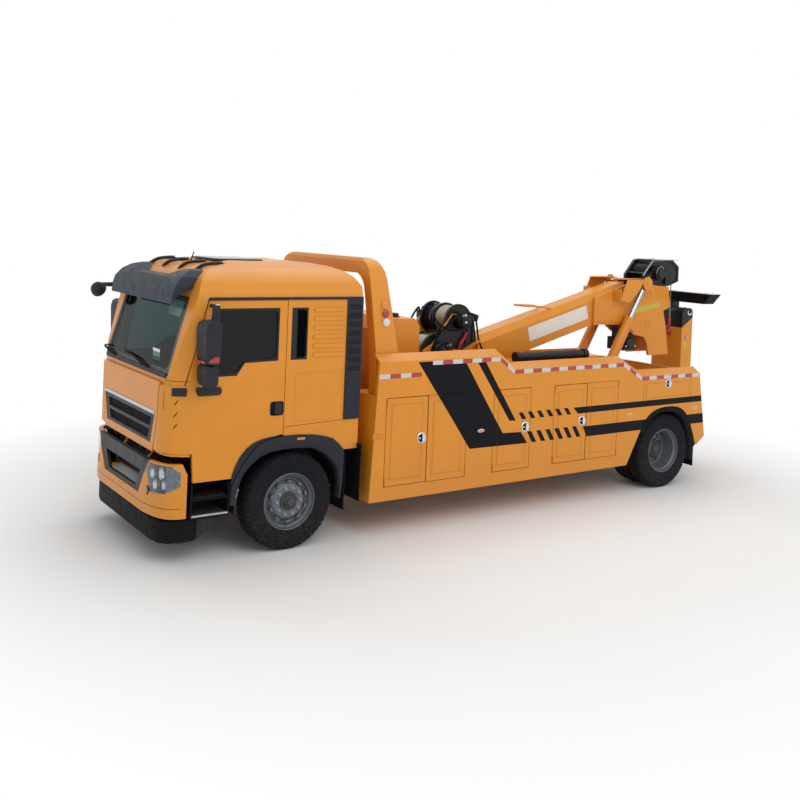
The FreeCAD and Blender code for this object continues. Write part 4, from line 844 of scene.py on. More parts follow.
for side, sign in SIDES:
    door, mirror = f"door_{side}", BODY_OF[f"mirror_{side}"]

    # drip rail above the doors
    rail = Shape().prism(*on_side([(0.452, 2.736), (2.33, 2.736), (2.33, 2.766), (0.462, 2.766)], -0.004, 0.016, sign))
    rail.done(f"drip_rail_{side}", "cab", PLASTIC, bevel=0.004)

    # stiffening ribs and pressed panel behind the door
    ribs = Shape()
    for k in range(6):
        z = 2.1 + 0.1 * k
        ribs.prism(*on_side(rounded(1.7, 2.09, z, z + 0.046, 0.02), -0.002, 0.012, sign))
    ribs.done(f"cab_ribs_{side}", "cab", YELLOW, bevel=0.011, segments=4)
    outline = rounded(1.5, 2.1, 1.4, 1.94, 0.045)
    ring = side_ring(outline, shrunk(outline, 0.012), -0.002, 0.004, sign)
    ring.done(f"cab_pressing_{side}", "cab", YELLOW, bevel=0.003)
    crease = Shape().prism(*on_side([(1.39, 1.352), (2.12, 1.377), (2.12, 1.381), (1.39, 1.356)], -0.001, 0.0012, sign))
    crease.done(f"cab_crease_{side}", "cab", SHADE)

    # handle in its recess
    cup = rounded(1.205, 1.368, 1.485, 1.64, 0.03)
    side_ring(cup, shrunk(cup, 0.01), -0.001, 0.005, sign).done(f"handle_rim_{side}", door, PLASTIC, bevel=0.002)
    well = Shape().prism(*on_side(shrunk(cup, 0.01), -0.001, 0.0015, sign))
    well.done(f"handle_cup_{side}", door, SHADE, "dark_plastic")
    grip = Shape().prism(*on_side(rounded(1.255, 1.345, 1.5, 1.628, 0.022), 0.001, 0.014, sign))
    grip.done(f"handle_grip_{side}", door, PLASTIC, bevel=0.006, segments=3)

    # window rubber, and the frame of the quarter window
    window = [(0.36, 1.94), (0.51, 2.65), (1.28, 2.65), (1.28, 2.08), (0.89, 2.07), (0.8, 1.94)]
    ring = side_ring(softened(window, 0.004), softened(shrunk(window, 0.022), 0.07), -0.02, 0.003, sign)
    ring.done(f"window_rubber_{side}", door, BLACK, bevel=0.002)
    quarter = rect(1.43, 1.63, 2.08, 2.65)
    ring = side_ring(softened(quarter, 0.004), softened(shrunk(quarter, 0.02), 0.05), -0.024, 0.003, sign)
    ring.done(f"quarter_rubber_{side}", "cab", BLACK, bevel=0.003)
    bars = Shape().box((sign * (CAB_X - 0.03), sign * (CAB_X - 0.002)), (1.425, 1.5), (2.08, 2.65))
    bars.done(f"quarter_post_{side}", "cab", BLACK, bevel=0.002)

    # louvre: small slots above, plain below
    slats = Shape()
    slats.prism(*on_side(rect(2.135, 2.32, 1.388, 1.93), 0.004, 0.0165, sign))
    for k in range(40):
        z = 1.945 + 0.0198 * k
        slats.prism(*on_side(rect(2.145, 2.31, z, z + 0.008), 0.004, 0.0165, sign))
    for k in range(6):
        y = 2.155 + 0.0285 * k
        slats.prism(*on_side(rect(y, y + 0.005, 1.93, 2.725), 0.004, 0.016, sign))
    slats.done(f"louvre_grid_{side}", "cab", PLASTIC, smooth=0)

    # lamp on the wheel arch
    base = Shape().prism(*on_side(rounded(1.52, 1.64, 1.2, 1.235, 0.015), 0.026, 0.032, sign))
    base.done(f"arch_lamp_base_{side}", "cab", BLACK, bevel=0.001)
    lamp = Shape().prism(*on_side(rounded(1.53, 1.63, 1.205, 1.23, 0.011), 0.03, 0.042, sign))
    lamp.done(f"arch_lamp_{side}", "cab", AMBER, bevel=0.004)

    # mirror glass, red reflector and joints
    for word, y1, z0, z1 in (("upper", 0.45, 2.15, 2.51), ("lower", 0.425, 1.93, 2.05)):
        glass = Shape().prism("front", rect(sign * 1.247, sign * 1.457, z0, z1), y1 + 0.02, y1 + 0.024)
        glass.done(f"mirror_glass_{word}_{side}", mirror, CHROME, "glass", bevel=0.002)
    patch = [(0.335, 2.135), (0.447, 2.13), (0.452, 2.19), (0.4, 2.192), (0.352, 2.165)]
    reflector = Shape().prism("side", patch, sign * 1.46, sign * 1.4775)
    reflector.prism("front", rounded(*sorted((sign * 1.25, sign * 1.45)), 2.128, 2.15, 0.009), 0.3, 0.314)
    reflector.done(f"mirror_reflector_{side}", mirror, RED_LENS, bevel=0.002)
    bands = Shape()
    for z in (2.2, 2.46):
        bands.box((sign * 1.29, sign * 1.345), (0.46, 0.505), (z, z + 0.05))
    bands.done(f"mirror_clamps_{side}", mirror, PLASTIC, bevel=0.004)
    screws = Shape()
    for z in (2.225, 2.485):
        screws.disc("Y", (sign * 1.317, 0.505, z), 0, 0.006, 0.01, 12)
    screws.disc("Z", (sign * 1.317, 0.4825, 2.7), 0, 0.012, 0.022, 20)
    screws.done(f"mirror_bolts_{side}", mirror, CHROME, bevel=0.001)


# ------------------------------------------------------------------ wheel arch flares
FLARE_OUT = [(0.775, 0.58), (0.777, 0.7), (0.79, 0.8), (0.83, 0.872), (0.87, 0.94), (0.945, 1.05), (1.02, 1.137),
             (1.1, 1.208), (1.24, 1.245), (1.39, 1.259), (1.58, 1.257), (1.77, 1.24), (1.89, 1.214), (2.0, 1.178),
             (2.08, 1.115), (2.148, 1.038), (2.148, 0.9), (2.14, 0.7), (2.12, 0.5)]
FLARE_IN = [(0.84, 0.58), (0.846, 0.67), (0.872, 0.745), (0.885, 0.8), (0.905, 0.855), (0.955, 0.925), (1.02, 0.985),
            (1.1, 1.042), (1.22, 1.085), (1.39, 1.105), (1.58, 1.105), (1.74, 1.088), (1.84, 1.045), (1.93, 0.985),
            (2.01, 0.905), (2.062, 0.83), (2.085, 0.74), (2.095, 0.62), (2.09, 0.5)]
# x, and the share of the way from the outer to the inner outline
FLARE_SECTION = [(1.1, 0.0), (1.16, 0.0), (1.172, 0.05), (1.175, 0.16), (1.172, 0.7), (1.16, 0.93), (1.135, 1.0),
                 (1.087, 1.0), (1.087, 0.955), (1.126, 0.94), (1.14, 0.88), (1.148, 0.6), (1.148, 0.1), (1.1, 0.09)]
for side, sign in SIDES:
    flare = Shape().grid([placed([(x, oy + (iy - oy) * t, oz + (iz - oz) * t) for x, t in FLARE_SECTION], sign)
                          for (oy, oz), (iy, iz) in zip(FLARE_OUT, FLARE_IN)])
    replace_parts(flare.done(f"flare_{side}", "cab", PLASTIC, smooth=40), "arch_flares")
    # the arch's round outline carried on over the door
    edge = [(0.779, 0.8), (0.79, 0.9), (0.825, 0.99), (0.875, 1.08), (0.94, 1.155), (1.02, 1.21), (1.12, 1.245),
            (1.24, 1.262), (1.33, 1.262), (1.24, 1.247), (1.099, 1.2105), (1.0185, 1.139), (0.9435, 1.0515),
            (0.868, 0.9415), (0.828, 0.873), (0.788, 0.802)]
    lip = Shape().prism(*on_side(edge, -0.001, 0.014, sign))
    lip.done(f"flare_lip_{side}", f"door_{side}", PLASTIC, bevel=0.006, segments=3)
    # wheel house liner
    path = [(0.862, 0.45), (0.866, 0.62), *arc((FRONT_Y, AXLE_Z), (-0.65, 0.65), 18, 144, 16), (2.1, 0.6)]
    outer = [(y + 0.012 * (y - FRONT_Y) / 0.65, z + 0.012) for y, z in path]
    liner = Shape().prism("side", path + outer[::-1], sign * 0.62, sign * 1.086)
    liner.done(f"wheel_house_{side}", "cab", SHADE, "dark_plastic", smooth=40)


# ------------------------------------------------------------------ bumper, lamps and grilles
BUMPER_FACE = [(0, 0), (0.7, 0), (0.9, 0.03), (1.0, 0.062), (1.08, 0.11), (1.122, 0.168), (CAB_X, 0.24), (CAB_X, 0.3)]
CAB_FACE = [(0, 0.095), (0.9, 0.095), (0.985, 0.117), (1.05, 0.15), (1.111, 0.246), (CAB_X, 0.33)]


def bumper_at(x):
    """Station of the bumper's face at x."""
    return between(BUMPER_FACE, abs(x))


def wrapped(face, xs, low, high, near, far, sign=1):
    """A slab that follows a curved face: low and high give its edges at x."""
    rings = []
    for x in xs:
        y = between(face, x)
        z0, z1 = low(x), high(x)
        levels = [z0 + (z1 - z0) * k / 4 for k in range(5)]
        rings.append(placed([(x, y + near, z) for z in levels] + [(x, y + far, z) for z in levels[::-1]], sign))
    return Shape().grid(rings)


def lamp_low(x):
    """Height of a headlamp's lower edge at x."""
    return between([(0.75, 0.955), (0.795, 0.86), (0.812, 0.737), (1.06, 0.757), (1.112, 1.0)], x)


def lamp_high(x):
    """Height of its upper edge at x."""
    return between([(0.75, 0.957), (0.815, 1.038), (1.112, 1.036)], x)


LAMP_XS = [0.752, 0.77, 0.795, 0.806, 0.815, 0.85, 0.89, 0.93, 0.97, 1.01, 1.04, 1.06, 1.08, 1.096, 1.11]
# centre across and up, radius, depth of the bowl
REFLECTORS = [(0.975, 0.945, 0.07, 0.045), (0.842, 0.93, 0.05, 0.035), (0.893, 0.82, 0.052, 0.035),
              (1.01, 0.832, 0.05, 0.035)]
for side, sign in SIDES:
    cover = wrapped(BUMPER_FACE, LAMP_XS, lamp_low, lamp_high, 0.004, 0.009, sign)
    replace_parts(cover.done(f"headlamp_cover_{side}", "chassis", LAMP_GLASS, smooth=40), "headlamps")
    back = wrapped(BUMPER_FACE, LAMP_XS, lambda x: lamp_low(x) + 0.002, lambda x: lamp_high(x) - 0.002,
                   0.082, 0.09, sign)
    back.done(f"headlamp_back_{side}", "chassis", BEZEL)
    loop = [(x, lamp_low(x)) for x in LAMP_XS] + [(x, lamp_high(x)) for x in LAMP_XS[::-1]]
    rings = []
    for x, z in loop:
        y = between(BUMPER_FACE, x)
        dx, dz = (0.95 - x) * 0.06, (0.9 - z) * 0.06  # towards the lamp's middle
        rings.append(placed([(x, y + 0.002, z), (x + dx, y + 0.006, z + dz), (x + dx, y + 0.088, z + dz),
                             (x, y + 0.088, z)], sign))
    Shape().loop(rings).done(f"headlamp_rim_{side}", "chassis", BEZEL, smooth=40)
    bowls, bulbs = Shape(), Shape()
    for x, z, r, depth in REFLECTORS:
        centre = (sign * x, between(BUMPER_FACE, x + r * 0.6) + 0.016, z)
        profile = [(0, r), (0.002, r + 0.006), (depth + 0.01, r * 0.55), (depth + 0.01, 0.004), (depth, 0.004),
                   (depth - 0.002, r * 0.4), (depth * 0.55, r * 0.78), (0.002, r - 0.003)]
        bowls.torus("Y", centre, profile, 32)
        bulbs.lathe("Y", centre, [(0.012, 0.001), (0.014, 0.008), (0.024, 0.012), (depth, 0.012)], 16, True)
    bowls.done(f"headlamp_reflectors_{side}", "chassis", CHROME, "lamp", smooth=35)
    bulbs.done(f"headlamp_bulbs_{side}", "chassis", CLEAR_LENS, "lamp", smooth=35)

    # side lens that carries the lamp round the corner
    for word, look, near, far, cut in (("seat", BEZEL, -0.001, 0.004, 0.0),
                                       ("lens", LAMP_GLASS, -0.007, -0.002, 0.006)):
        lens_side = wrapped(BUMPER_FACE, [1.066 + cut, 1.08, 1.095, 1.108, 1.122, 1.133, 1.144 - cut / 3],
                            lambda x: between([(1.06, 0.757), (1.08, 0.77), (1.112, 0.79), (1.144, 0.835)], x) + cut,
                            lambda x: between([(1.06, 1.036), (1.112, 1.034), (1.144, 0.98)], x) - cut, near, far, sign)
        lens_side.done(f"headlamp_side_{word}_{side}", "chassis", look, "lamp", smooth=40)

    # oval reflector in the bumper
    y = bumper_at(0.765)
    for part, radii, ahead, look in (("reflector_seat", (0.028, 0.05), 0.0005, SHADE),
                                     ("reflector", (0.02, 0.041), 0.0008, RED_LENS)):
        Shape().prism("front", arc((sign * 0.79, 0.745), radii, steps=24), y - ahead, y + 0.02).done(
            f"bumper_{part}_{side}", "chassis", look)

rings = []
for x in (-0.8, -0.75, -0.7, 0.7, 0.75, 0.8):
    y = bumper_at(x)
    rings.append(placed([(x, y - 0.0006, 1.03), (x, y - 0.0006, 1.0606), (x, y + 0.052, 1.0606), (x, y + 0.052, 1.03)]))
Shape().grid(rings).done("grille_top", "chassis", GRILLE, smooth=0)

rings = []
stations = [x for x, y in BUMPER_FACE[1:-1]] + [0.8, 0.95, 1.04, 1.1]
for x in sorted([-s for s in stations] + stations):
    y = bumper_at(x)
    z = 0.586 + 0.02 * (abs(x) / CAB_X) ** 2
    rings.append(placed([(x, y - 0.0006, z), (x, y - 0.0006, z + 0.005), (x, y + 0.004, z + 0.005), (x, y + 0.004, z)]))
Shape().grid(rings).done("bumper_seam", "chassis", SHADE, smooth=0)
bolts = Shape()
for x in (-0.04, 0.05):
    bolts.disc("Y", (x, 0, 0.645), -0.0008, 0.01, 0.011, 16)
bolts.done("bumper_bolts", "chassis", SHADE)

# tread plate in the bumper's mouth, with dimples
tread = Shape().prism("side", [(0.052, 0.715), (0.056, 0.706), (0.17, 0.745), (0.17, 0.755)], -0.47, 0.47)
tread.done("mouth_tread", "chassis", ALUMINIUM, bevel=0.001)
dimples = Shape()
for row in range(5):
    for k in range(36):
        x = -0.455 + 0.0255 * k + (0.0127 if row % 2 else 0)
        dimples.disc("Z", (x, 0.062 + 0.02 * row, 0.716 + 0.0065 * row), 0, 0.008, 0.006, 8)
dimples.done("mouth_tread_dimples", "chassis", ALUMINIUM)
# a dark sheet behind the radiator fins and lamps: painted shade for the space behind the bumper's mouth
void = Shape().prism("plan", rect(-0.98, 0.98, 0.2, 0.215), 0.52, 1.055)
void.done("radiator_shroud", "chassis", SHADE, "dark_plastic", bevel=0.002)
core = Shape()
for k in range(21):
    core.box((-0.6, 0.6), (0.178, 0.2), (0.6 + 0.0205 * k, 0.61 + 0.0205 * k))
core.done("radiator_fins", "chassis", FRAME, "dark_plastic", smooth=0)

# the board under the bumper
half = [(0.0, 0.045), (0.8, 0.045), (0.95, 0.075), (1.04, 0.15), (1.075, 0.26), (1.075, 0.42), (1.04, 0.47)]
board = half + [(-x, y) for x, y in half[::-1][:-1]]
Shape().prism("plan", board, 0.228, 0.466).done("front_board", "chassis", BLACK_AND_SHADE, bevel=0.022, segments=4)

# upper grille: bright strip, mesh and frames
strip = Shape().prism("front", [(-0.8, 1.53), (-0.785, 1.565), (0.785, 1.565), (0.8, 1.53)], 0.044, 0.058)
strip.done("grille_strip", "front_flap", ALUMINIUM, "grille_plastic", bevel=0.003)
# a dark sheet behind the mesh: painted shade for the space behind the grille
shade_sheet = Shape().box((-0.79, 0.79), (0.0875, 0.0925), (1.226, 1.505))
shade_sheet.done("grille_backing", "front_flap", SHADE, "grille_plastic", smooth=0)
mesh_bars = Shape()
for low, high in ((1.25, 1.345), (1.385, 1.48)):
    for k in range(5):
        mesh_bars.box((-0.72, 0.72), (0.081, 0.085), (low + 0.006 + 0.0195 * k, low + 0.01 + 0.0195 * k))
    for k in range(49):
        x = -0.72 + 0.03 * k
        mesh_bars.box((x - 0.0015, x + 0.0015), (0.0805, 0.0855), (low - 0.005, high + 0.005))
mesh_bars.done("grille_mesh", "front_flap", FRAME, "grille_plastic", smooth=0)
hinges = Shape()
for x in (-0.62, -0.42, 0.42, 0.62):
    hinges.box((x - 0.035, x + 0.035), (0.062, 0.088), (1.1, 1.136))
    hinges.disc("X", (x, 0.075, 1.105), -0.05, 0.05, 0.012, 12)
hinges.done("flap_hinges", "front_flap", SHADE, bevel=0.003)


# corner panels beside the grille, with their ridge and air slots
def corner_point(x, z, out):
    """A point in front of the cab's rounded corner, pushed out square to it."""
    y = between(CAB_FACE, x)
    slope = (between(CAB_FACE, min(CAB_X, x + 0.01)) - between(CAB_FACE, x - 0.01)) / 0.02
    n = Vector((slope, -1)).normalized()
    return x + n.x * out, y + n.y * out, z


def flap_edge(z):
    """Half width of the front flap at a height."""
    return between([(1.135, 0.772), (1.5, 0.872), (1.88, 0.892)], z)


CORNER_ROWS = [1.152, 1.165, 1.25, 1.35, 1.45, 1.55, 1.65, 1.75, 1.845, 1.858]
for side, sign in SIDES:
    rings = []
    for k in range(15):
        t = k / 14
        front, back = [], []
        for z in CORNER_ROWS:
            x = flap_edge(z) + (1.134 - flap_edge(z)) * t
            out = 0.036 - 0.026 * between([(0.9, 0), (1.0, 0.35), (1.12, 1)], x)
            if k == 14 or z in (CORNER_ROWS[0], CORNER_ROWS[-1]):
                out *= 0.3
            front.append(corner_point(x, z, out))
            back.append(corner_point(x, z, -0.003))
        rings.append(placed(front + back[::-1], sign))
    Shape().grid(rings).done(f"corner_panel_{side}", "cab", YELLOW, bevel=0.003, smooth=40)
    marks = Shape()
    lips = Shape()
    for z in (1.4, 1.52, 1.64):
        path = [corner_point(x, z + h, 0.012) for x, h in ((1.046, 0.0), (1.063, 0.032), (1.08, 0.075))]
        marks.tube(flipped(path, sign), [0.004, 0.009, 0.005], 8)
        path = [corner_point(x, z + h, 0.014) for x, h in ((1.044, -0.012), (1.063, 0.016), (1.08, 0.056))]
        lips.tube(flipped(path, sign), 0.006, 8)
    path = [corner_point(0.965, z, 0.028) for z in (1.6, 1.7, 1.8)]
    marks.tube(flipped(path, sign), 0.004, 8)
    marks.done(f"corner_slots_{side}", "cab", SHADE)
    lips.done(f"corner_slot_lips_{side}", "cab", YELLOW)
    # crease above the corner panel
    rings = []
    for x in (0.925, 0.985, 1.02, 1.05, 1.08, 1.111, 1.135):
        ring = [corner_point(x, z, o) for z, o in ((1.9, 0.0008), (1.905, 0.0008), (1.905, -0.003), (1.9, -0.003))]
        rings.append(placed(ring, sign))
    Shape().grid(rings).done(f"corner_crease_{side}", "cab", SHADE, smooth=0)

# dark bracket of the mirror's foot, round the corner and over the door's edge
for side, sign in SIDES:
    rings = []
    for x in (1.045, 1.06, 1.08, 1.1, 1.111, 1.12):
        ring = [corner_point(x, z, o) for z, o in ((1.75, 0.004), (1.755, 0.03), (1.835, 0.03), (1.84, 0.004),
                                                   (1.84, -0.002), (1.75, -0.002))]
        rings.append(placed(ring, sign))
    pad = Shape().prism(*on_side(rounded(0.362, 0.63, 1.752, 1.838, 0.035), 0.0005, 0.026, sign))
    pad.done(f"mirror_pad_{side}", f"door_{side}", PLASTIC, bevel=0.006, segments=3)
    Shape().grid(rings).done(f"mirror_foot_{side}", "cab", PLASTIC, bevel=0.006, segments=3)

# ------------------------------------------------------------------ windscreen
def screen_y(z):
    """Station of the sloping screen at a height."""
    return 0.11 + 0.23 * (z - 1.95) / 0.83


def screen_loop(half_low, half_high, z0, z1, r0, r1, steps=6):
    """A rounded trapezoid on the screen's slope, from the lower right corner round."""
    made = []
    for sx, z, r, start in ((1, z0, r0, 270), (1, z1, r1, 0), (-1, z1, r1, 90), (-1, z0, r0, 180)):
        half = half_low if z == z0 else half_high
        made += arc((sx * (half - r), z + (r if z == z0 else -r)), (r, r), start, 90, steps)
    return made


outer = screen_loop(0.975, 0.943, 1.94, 2.755, 0.03, 0.03)
inner = screen_loop(0.915, 0.885, 2.005, 2.7, 0.07, 0.07)
rings = [placed([(x, screen_y(z) + c, z) for x, z in loop])
         for loop, c in ((outer, 0.004), (outer, -0.002), (inner, 0.004), (inner, 0.01))]
Shape().loop(rings).done("screen_border", "cab", BLACK, smooth=40)
cowl = Shape().prism("side", [(0.098, 1.915), (0.096, 1.955), (0.107, 1.968), (0.125, 1.968), (0.125, 1.915)],
                     -0.95, 0.95)
cowl.done("wiper_cowl", "cab", PLASTIC, bevel=0.006)
wipers = Shape()
for x in (0.44, -0.62):
    wipers.disc("Y", (x, 0.118, 1.958), -0.014, 0.004, 0.018, 20)
    wipers.prism("front", [(x - 0.028, 1.968), (x - 0.022, 1.948), (x + 0.02, 1.948), (x + 0.028, 1.968)], 0.101, 0.108)
    wipers.tube([(x, 0.104, 1.958), (x - 0.2, 0.102, 1.98), (x - 0.42, 0.104, 2.018)], 0.008, 8, 4)
    wipers.tube([(x - 0.05, 0.101, 1.985), (x - 0.42, 0.11, 2.022), (x - 0.8 if x > 0 else -0.9, 0.117, 2.05)],
                0.009, 8, 4)
wipers.done("wipers", "cab", SHADE)
paper = Shape().prism("front", [(0.4, 2.05), (0.6, 2.05), (0.57, 2.17), (0.37, 2.17)], 0.17, 0.173)
paper.done("screen_sheet", "cab", PALE, smooth=0)
blind = Shape()
ring = [(0.42, 2.7), (0.46, 2.54), (0.8, 2.53), (0.83, 2.7)]
blind.grid([[(x, screen_y(z) + c + FRONT, z) for x, z in ring] for c in (0.022, 0.03)])
blind.done("sun_blind", "cab", PALE, bevel=0.004)

# ------------------------------------------------------------------ roof
def roof_z(x, y):
    """Height of the domed roof."""
    along = between([(0.34, 2.78), (0.372, 2.88), (0.42, 2.96), (0.5, 3.016), (0.6, 3.06), (0.78, 3.096), (1.0, 3.12),
                     (1.9, 3.12), (2.07, 3.092), (2.2, 3.05), (2.278, 2.98)], y)
    across = between([(0.0, 3.12), (0.6, 3.12), (0.76, 3.09), (0.9, 3.04), (0.99, 2.992), (1.062, 2.938)], abs(x))
    return min(along, across)


hatch = Shape().prism("plan", rounded(-0.36, 0.36, 0.86, 1.46, 0.05), 3.116, 3.132)
hatch.done("roof_hatch_seal", "cab", BLACK, bevel=0.003)
hatch = Shape().prism("plan", rounded(-0.335, 0.335, 0.885, 1.435, 0.04), 3.12, 3.14)
hatch.done("roof_hatch", "cab", HATCH, bevel=0.006, segments=3)
ribs = Shape()
for side, sign in SIDES:
    for x0, x1, y0, y1 in ((0.66, 0.672, 0.72, 2.05), (0.42, 0.43, 1.58, 2.1)):
        rings = []
        for k in range(13):
            y = y0 + (y1 - y0) * k / 12
            a, b = roof_z(x0, y), roof_z(x1, y)
            rings.append(placed([(x0, y, a - 0.003), (x0, y, a + 0.003), (x1, y, b + 0.003), (x1, y, b - 0.003)], sign))
        ribs.grid(rings)
ribs.done("roof_ribs", "cab", YELLOW, bevel=0.001)
rails = Shape()
for x in (-0.72, -0.28, 0.2, 0.66):
    path = [(x + dx, y, roof_z(x, y) + dz)
            for dx, y, dz in ((0, 0.505, 0.012), (0.02, 0.58, 0.028), (0.04, 0.68, 0.024), (0.05, 0.78, 0.008))]
    rails.tube(path, 0.02, 10, 4)
    for x, y, z in (path[0], path[-1]):
        rails.disc("Z", (x, y, z - 0.018), 0, 0.02, 0.024, 12)
rails.done("visor_stays", "cab", BLACK)
aerial = Shape().tube([(0.02, 0.7, roof_z(0, 0.7)), (0.02, 0.71, 3.11), (0.02, 0.74, 3.2)], [0.012, 0.009, 0.006], 8)
aerial.disc("Z", (0.02, 0.7, roof_z(0, 0.7) - 0.004), 0, 0.012, 0.024, 16)
aerial.done("aerial", "cab", BLACK)

# kerb mirror on its arm, held by the door mirror at the far front corner
KERB = BODY_OF["mirror_right"]
arm = Shape().tube([(-1.22, 0.33, 2.685), (-1.185, 0.25, 2.735), (-1.185, 0.15, 2.74), (-1.28, 0.1, 2.735)],
                   [0.03, 0.03, 0.026, 0.022], 12, 4)
arm.done("kerb_mirror_arm", KERB, PLASTIC)
lean = Matrix.Translation((-1.365, 0.1 + FRONT, 2.675))
for angle, axis in ((-38, "X"), (35, "Z")):
    lean = lean @ Matrix.Rotation(math.radians(angle), 4, axis)
bowl = [(-0.07, 0.02), (-0.065, 0.05), (-0.04, 0.076), (0.0, 0.09), (0.03, 0.093), (0.038, 0.088)]
head = Shape().lathe("Y", (0, -FRONT, 0), bowl, 28, True)
head.move(lean).done("kerb_mirror", KERB, PLASTIC, smooth=40)
pane = Shape().disc("Y", (0, -FRONT, 0), 0.034, 0.041, 0.08, 28)
pane.move(lean).done("kerb_mirror_glass", KERB, CHROME, "glass", bevel=0.001)

# steps: bright toothed tread below, dark one above
TOOTH_PITCH = 0.0206
for side, sign in SIDES:
    lower = Shape().box((sign * 1.12, sign * 1.1305), (0.365, 0.77), (0.494, 0.509))
    upper = Shape()
    for tread, z, thick, tooth, x0, x1 in ((lower, 0.5, 0.007, 0.009, 1.125, 1.12),
                                           (upper, 0.68, 0.005, 0.006, 1.1, 1.09)):
        tread.box((sign * 0.82, sign * x0), (0.37, 0.765), (z, z + thick))
        for k in range(19):
            y = 0.375 + TOOTH_PITCH * k
            tread.prism("side", [(y, z + thick), (y + 0.006, z + thick + tooth), (y + 0.012, z + thick)],
                        sign * 0.83, sign * x1)
    lower.done(f"step_tread_{side}", "chassis", ALUMINIUM, bevel=0.001, smooth=0)
    upper.done(f"step_tread_upper_{side}", "chassis", FRAME, "dark_plastic", smooth=0)
    back = Shape().box((sign * 0.765, sign * 0.78), (0.352, 0.778), (0.502, 0.828))
    back.done(f"step_back_{side}", "chassis", SHADE, "dark_plastic", smooth=0)


# ------------------------------------------------------------------ lamps
lamp_base, lamp_rim = Shape(), Shape()
lamp_lenses = {"amber": (Shape(), AMBER, 2.66), "red": (Shape(), RED_LENS, 2.562), "clear": (Shape(), CLEAR_LENS, 2.46)}


def lean_at(z):
    """Station of the leaning light arch at a height."""
    return 2.672 + (2.56 - z) * 0.16


for side, sign in SIDES:
    for shape, r, low, high in ((lamp_base, 0.052, 1.097, 1.106), (lamp_rim, 0.062, 1.097, 1.104)):
        outline = arc((lean_at(2.66), 2.67), (r, r), 0, 180, 12) + arc((lean_at(2.46), 2.45), (r, r), 180, 180, 12)
        shape.prism("side", outline, sign * low, sign * high)
    for shape, look, z in lamp_lenses.values():
        dome = [(0.0, 0.049), (0.012, 0.048), (0.018, 0.041), (0.0205, 0.022), (0.021, 0.001)]
        shape.lathe("X", (sign * 1.104, lean_at(z), z), flipped(dome, sign), 28, True)
lamp_rim.done("arch_lamp_rims", "chassis", YELLOW, bevel=0.003)
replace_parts(lamp_base.done("arch_lamp_plates", "chassis", YELLOW, "signal", bevel=0.001), "signal_lamps")
for word, (shape, look, z) in lamp_lenses.items():
    shape.done(f"arch_lamps_{word}", "chassis", look, smooth=40)

tail = Shape()
parts = {"red": (Shape(), RED_LENS), "amber": (Shape(), AMBER), "clear": (Shape(), CLEAR_LENS)}
for side, sign in SIDES:
    tail.box((sign * 0.93, sign * 1.19), (8.303, 8.345), (0.75, 0.9))
    for k, word in enumerate(("clear", "red", "amber")):
        x0 = 0.94 + 0.082 * k
        parts[word][0].box((sign * x0, sign * (x0 + 0.074)), (8.34, 8.366), (0.762, 0.888))
tail.done("tail_lamp_cases", "chassis", SHADE, "signal", bevel=0.004)
for word, (shape, look) in parts.items():
    shape.done(f"tail_lamps_{word}", "chassis", look, bevel=0.006, segments=3)

# ------------------------------------------------------------------ body fittings
DECK_Z = 1.2205  # just above the body's deck
for side, sign in SIDES:
    latch = Shape().box((sign * 1.2505, sign * 1.27), (2.47, 2.6), (1.157, 1.187))
    latch.box((sign * 1.2505, sign * 1.263), (2.462, 2.49), (1.14, 1.205))
    latch.done(f"corner_latch_{side}", "chassis", YELLOW, bevel=0.005, segments=3)
Shape().box((-0.7, 0.7), (8.132, 8.188), (1.6205, 1.628)).done("tail_edge", "chassis", ALUMINIUM, bevel=0.002)
cap = Shape().lathe("Z", (0.42, 3.26, 2.45), [(-0.002, 0.07), (0.012, 0.07), (0.014, 0.055), (0.045, 0.055),
                                              (0.05, 0.048), (0.05, 0.001)], 32, True)
cap.lathe("Z", (0.1, 3.2, 2.45), [(-0.002, 0.03), (0.03, 0.03), (0.032, 0.05), (0.062, 0.05), (0.068, 0.04),
                                  (0.068, 0.001)], 24, True)
cap.done("tank_caps", "chassis", BLACK, bevel=0.002)
seams = Shape()
for z in (1.6, 2.02):
    seams.box((-0.653, 0.653), (2.957, 3.503), (z, z + 0.006))
seams.done("tank_seams", "chassis", YELLOW, bevel=0.002)
pipe = Shape().tube([(0.43, 5.3, 1.86), (0.43, 6.62, 1.86)], 0.062, 20)
for y in (5.28, 6.56):
    pipe.tube([(0.43, y, 1.86), (0.43, y + 0.08, 1.86)], 0.074, 20)
for y in (5.5, 6.4):
    pipe.box((0.38, 0.48), (y - 0.02, y + 0.02), (DECK_Z, 1.83))
    pipe.box((0.34, 0.52), (y - 0.06, y + 0.06), (DECK_Z, 1.236))
pipe.done("deck_cylinder", "chassis", BLACK, bevel=0.003)
valves = Shape()
for k in range(7):
    x = -0.36 + 0.12 * k
    valves.box((x - 0.045, x + 0.045), (2.62, 2.78), (DECK_Z, 1.46))
    valves.tube([(x, 2.7, 1.46), (x, 2.68, 1.66)], 0.009, 8)
    valves.disc("Z", (x, 2.68, 1.655), 0, 0.035, 0.018, 12)
valves.done("valve_bank", "chassis", BLACK, bevel=0.004)
hoses = Shape()
for k in range(6):
    x = -0.3 + 0.12 * k
    hoses.tube([(x, 2.78, 1.36), (x * 0.9, 2.86, 1.35), (x * 0.7, 2.93, 1.27), (x * 0.7, 2.955, 1.3)], 0.016, 8, 4)
hoses.done("valve_hoses", "chassis", SHADE)


def rear_at(z):
    """Station of the body's sloping rear face at a height."""
    return 8.34 - (z - 0.68) * 0.1702


def on_rear(x0, x1, z0, z1, out, sign):
    """A plate on the body's sloping rear face."""
    outline = [(rear_at(z0) - 0.002, z0), (rear_at(z0) + out, z0), (rear_at(z1) + out, z1), (rear_at(z1) - 0.002, z1)]
    return "side", outline, sign * x0, sign * x1


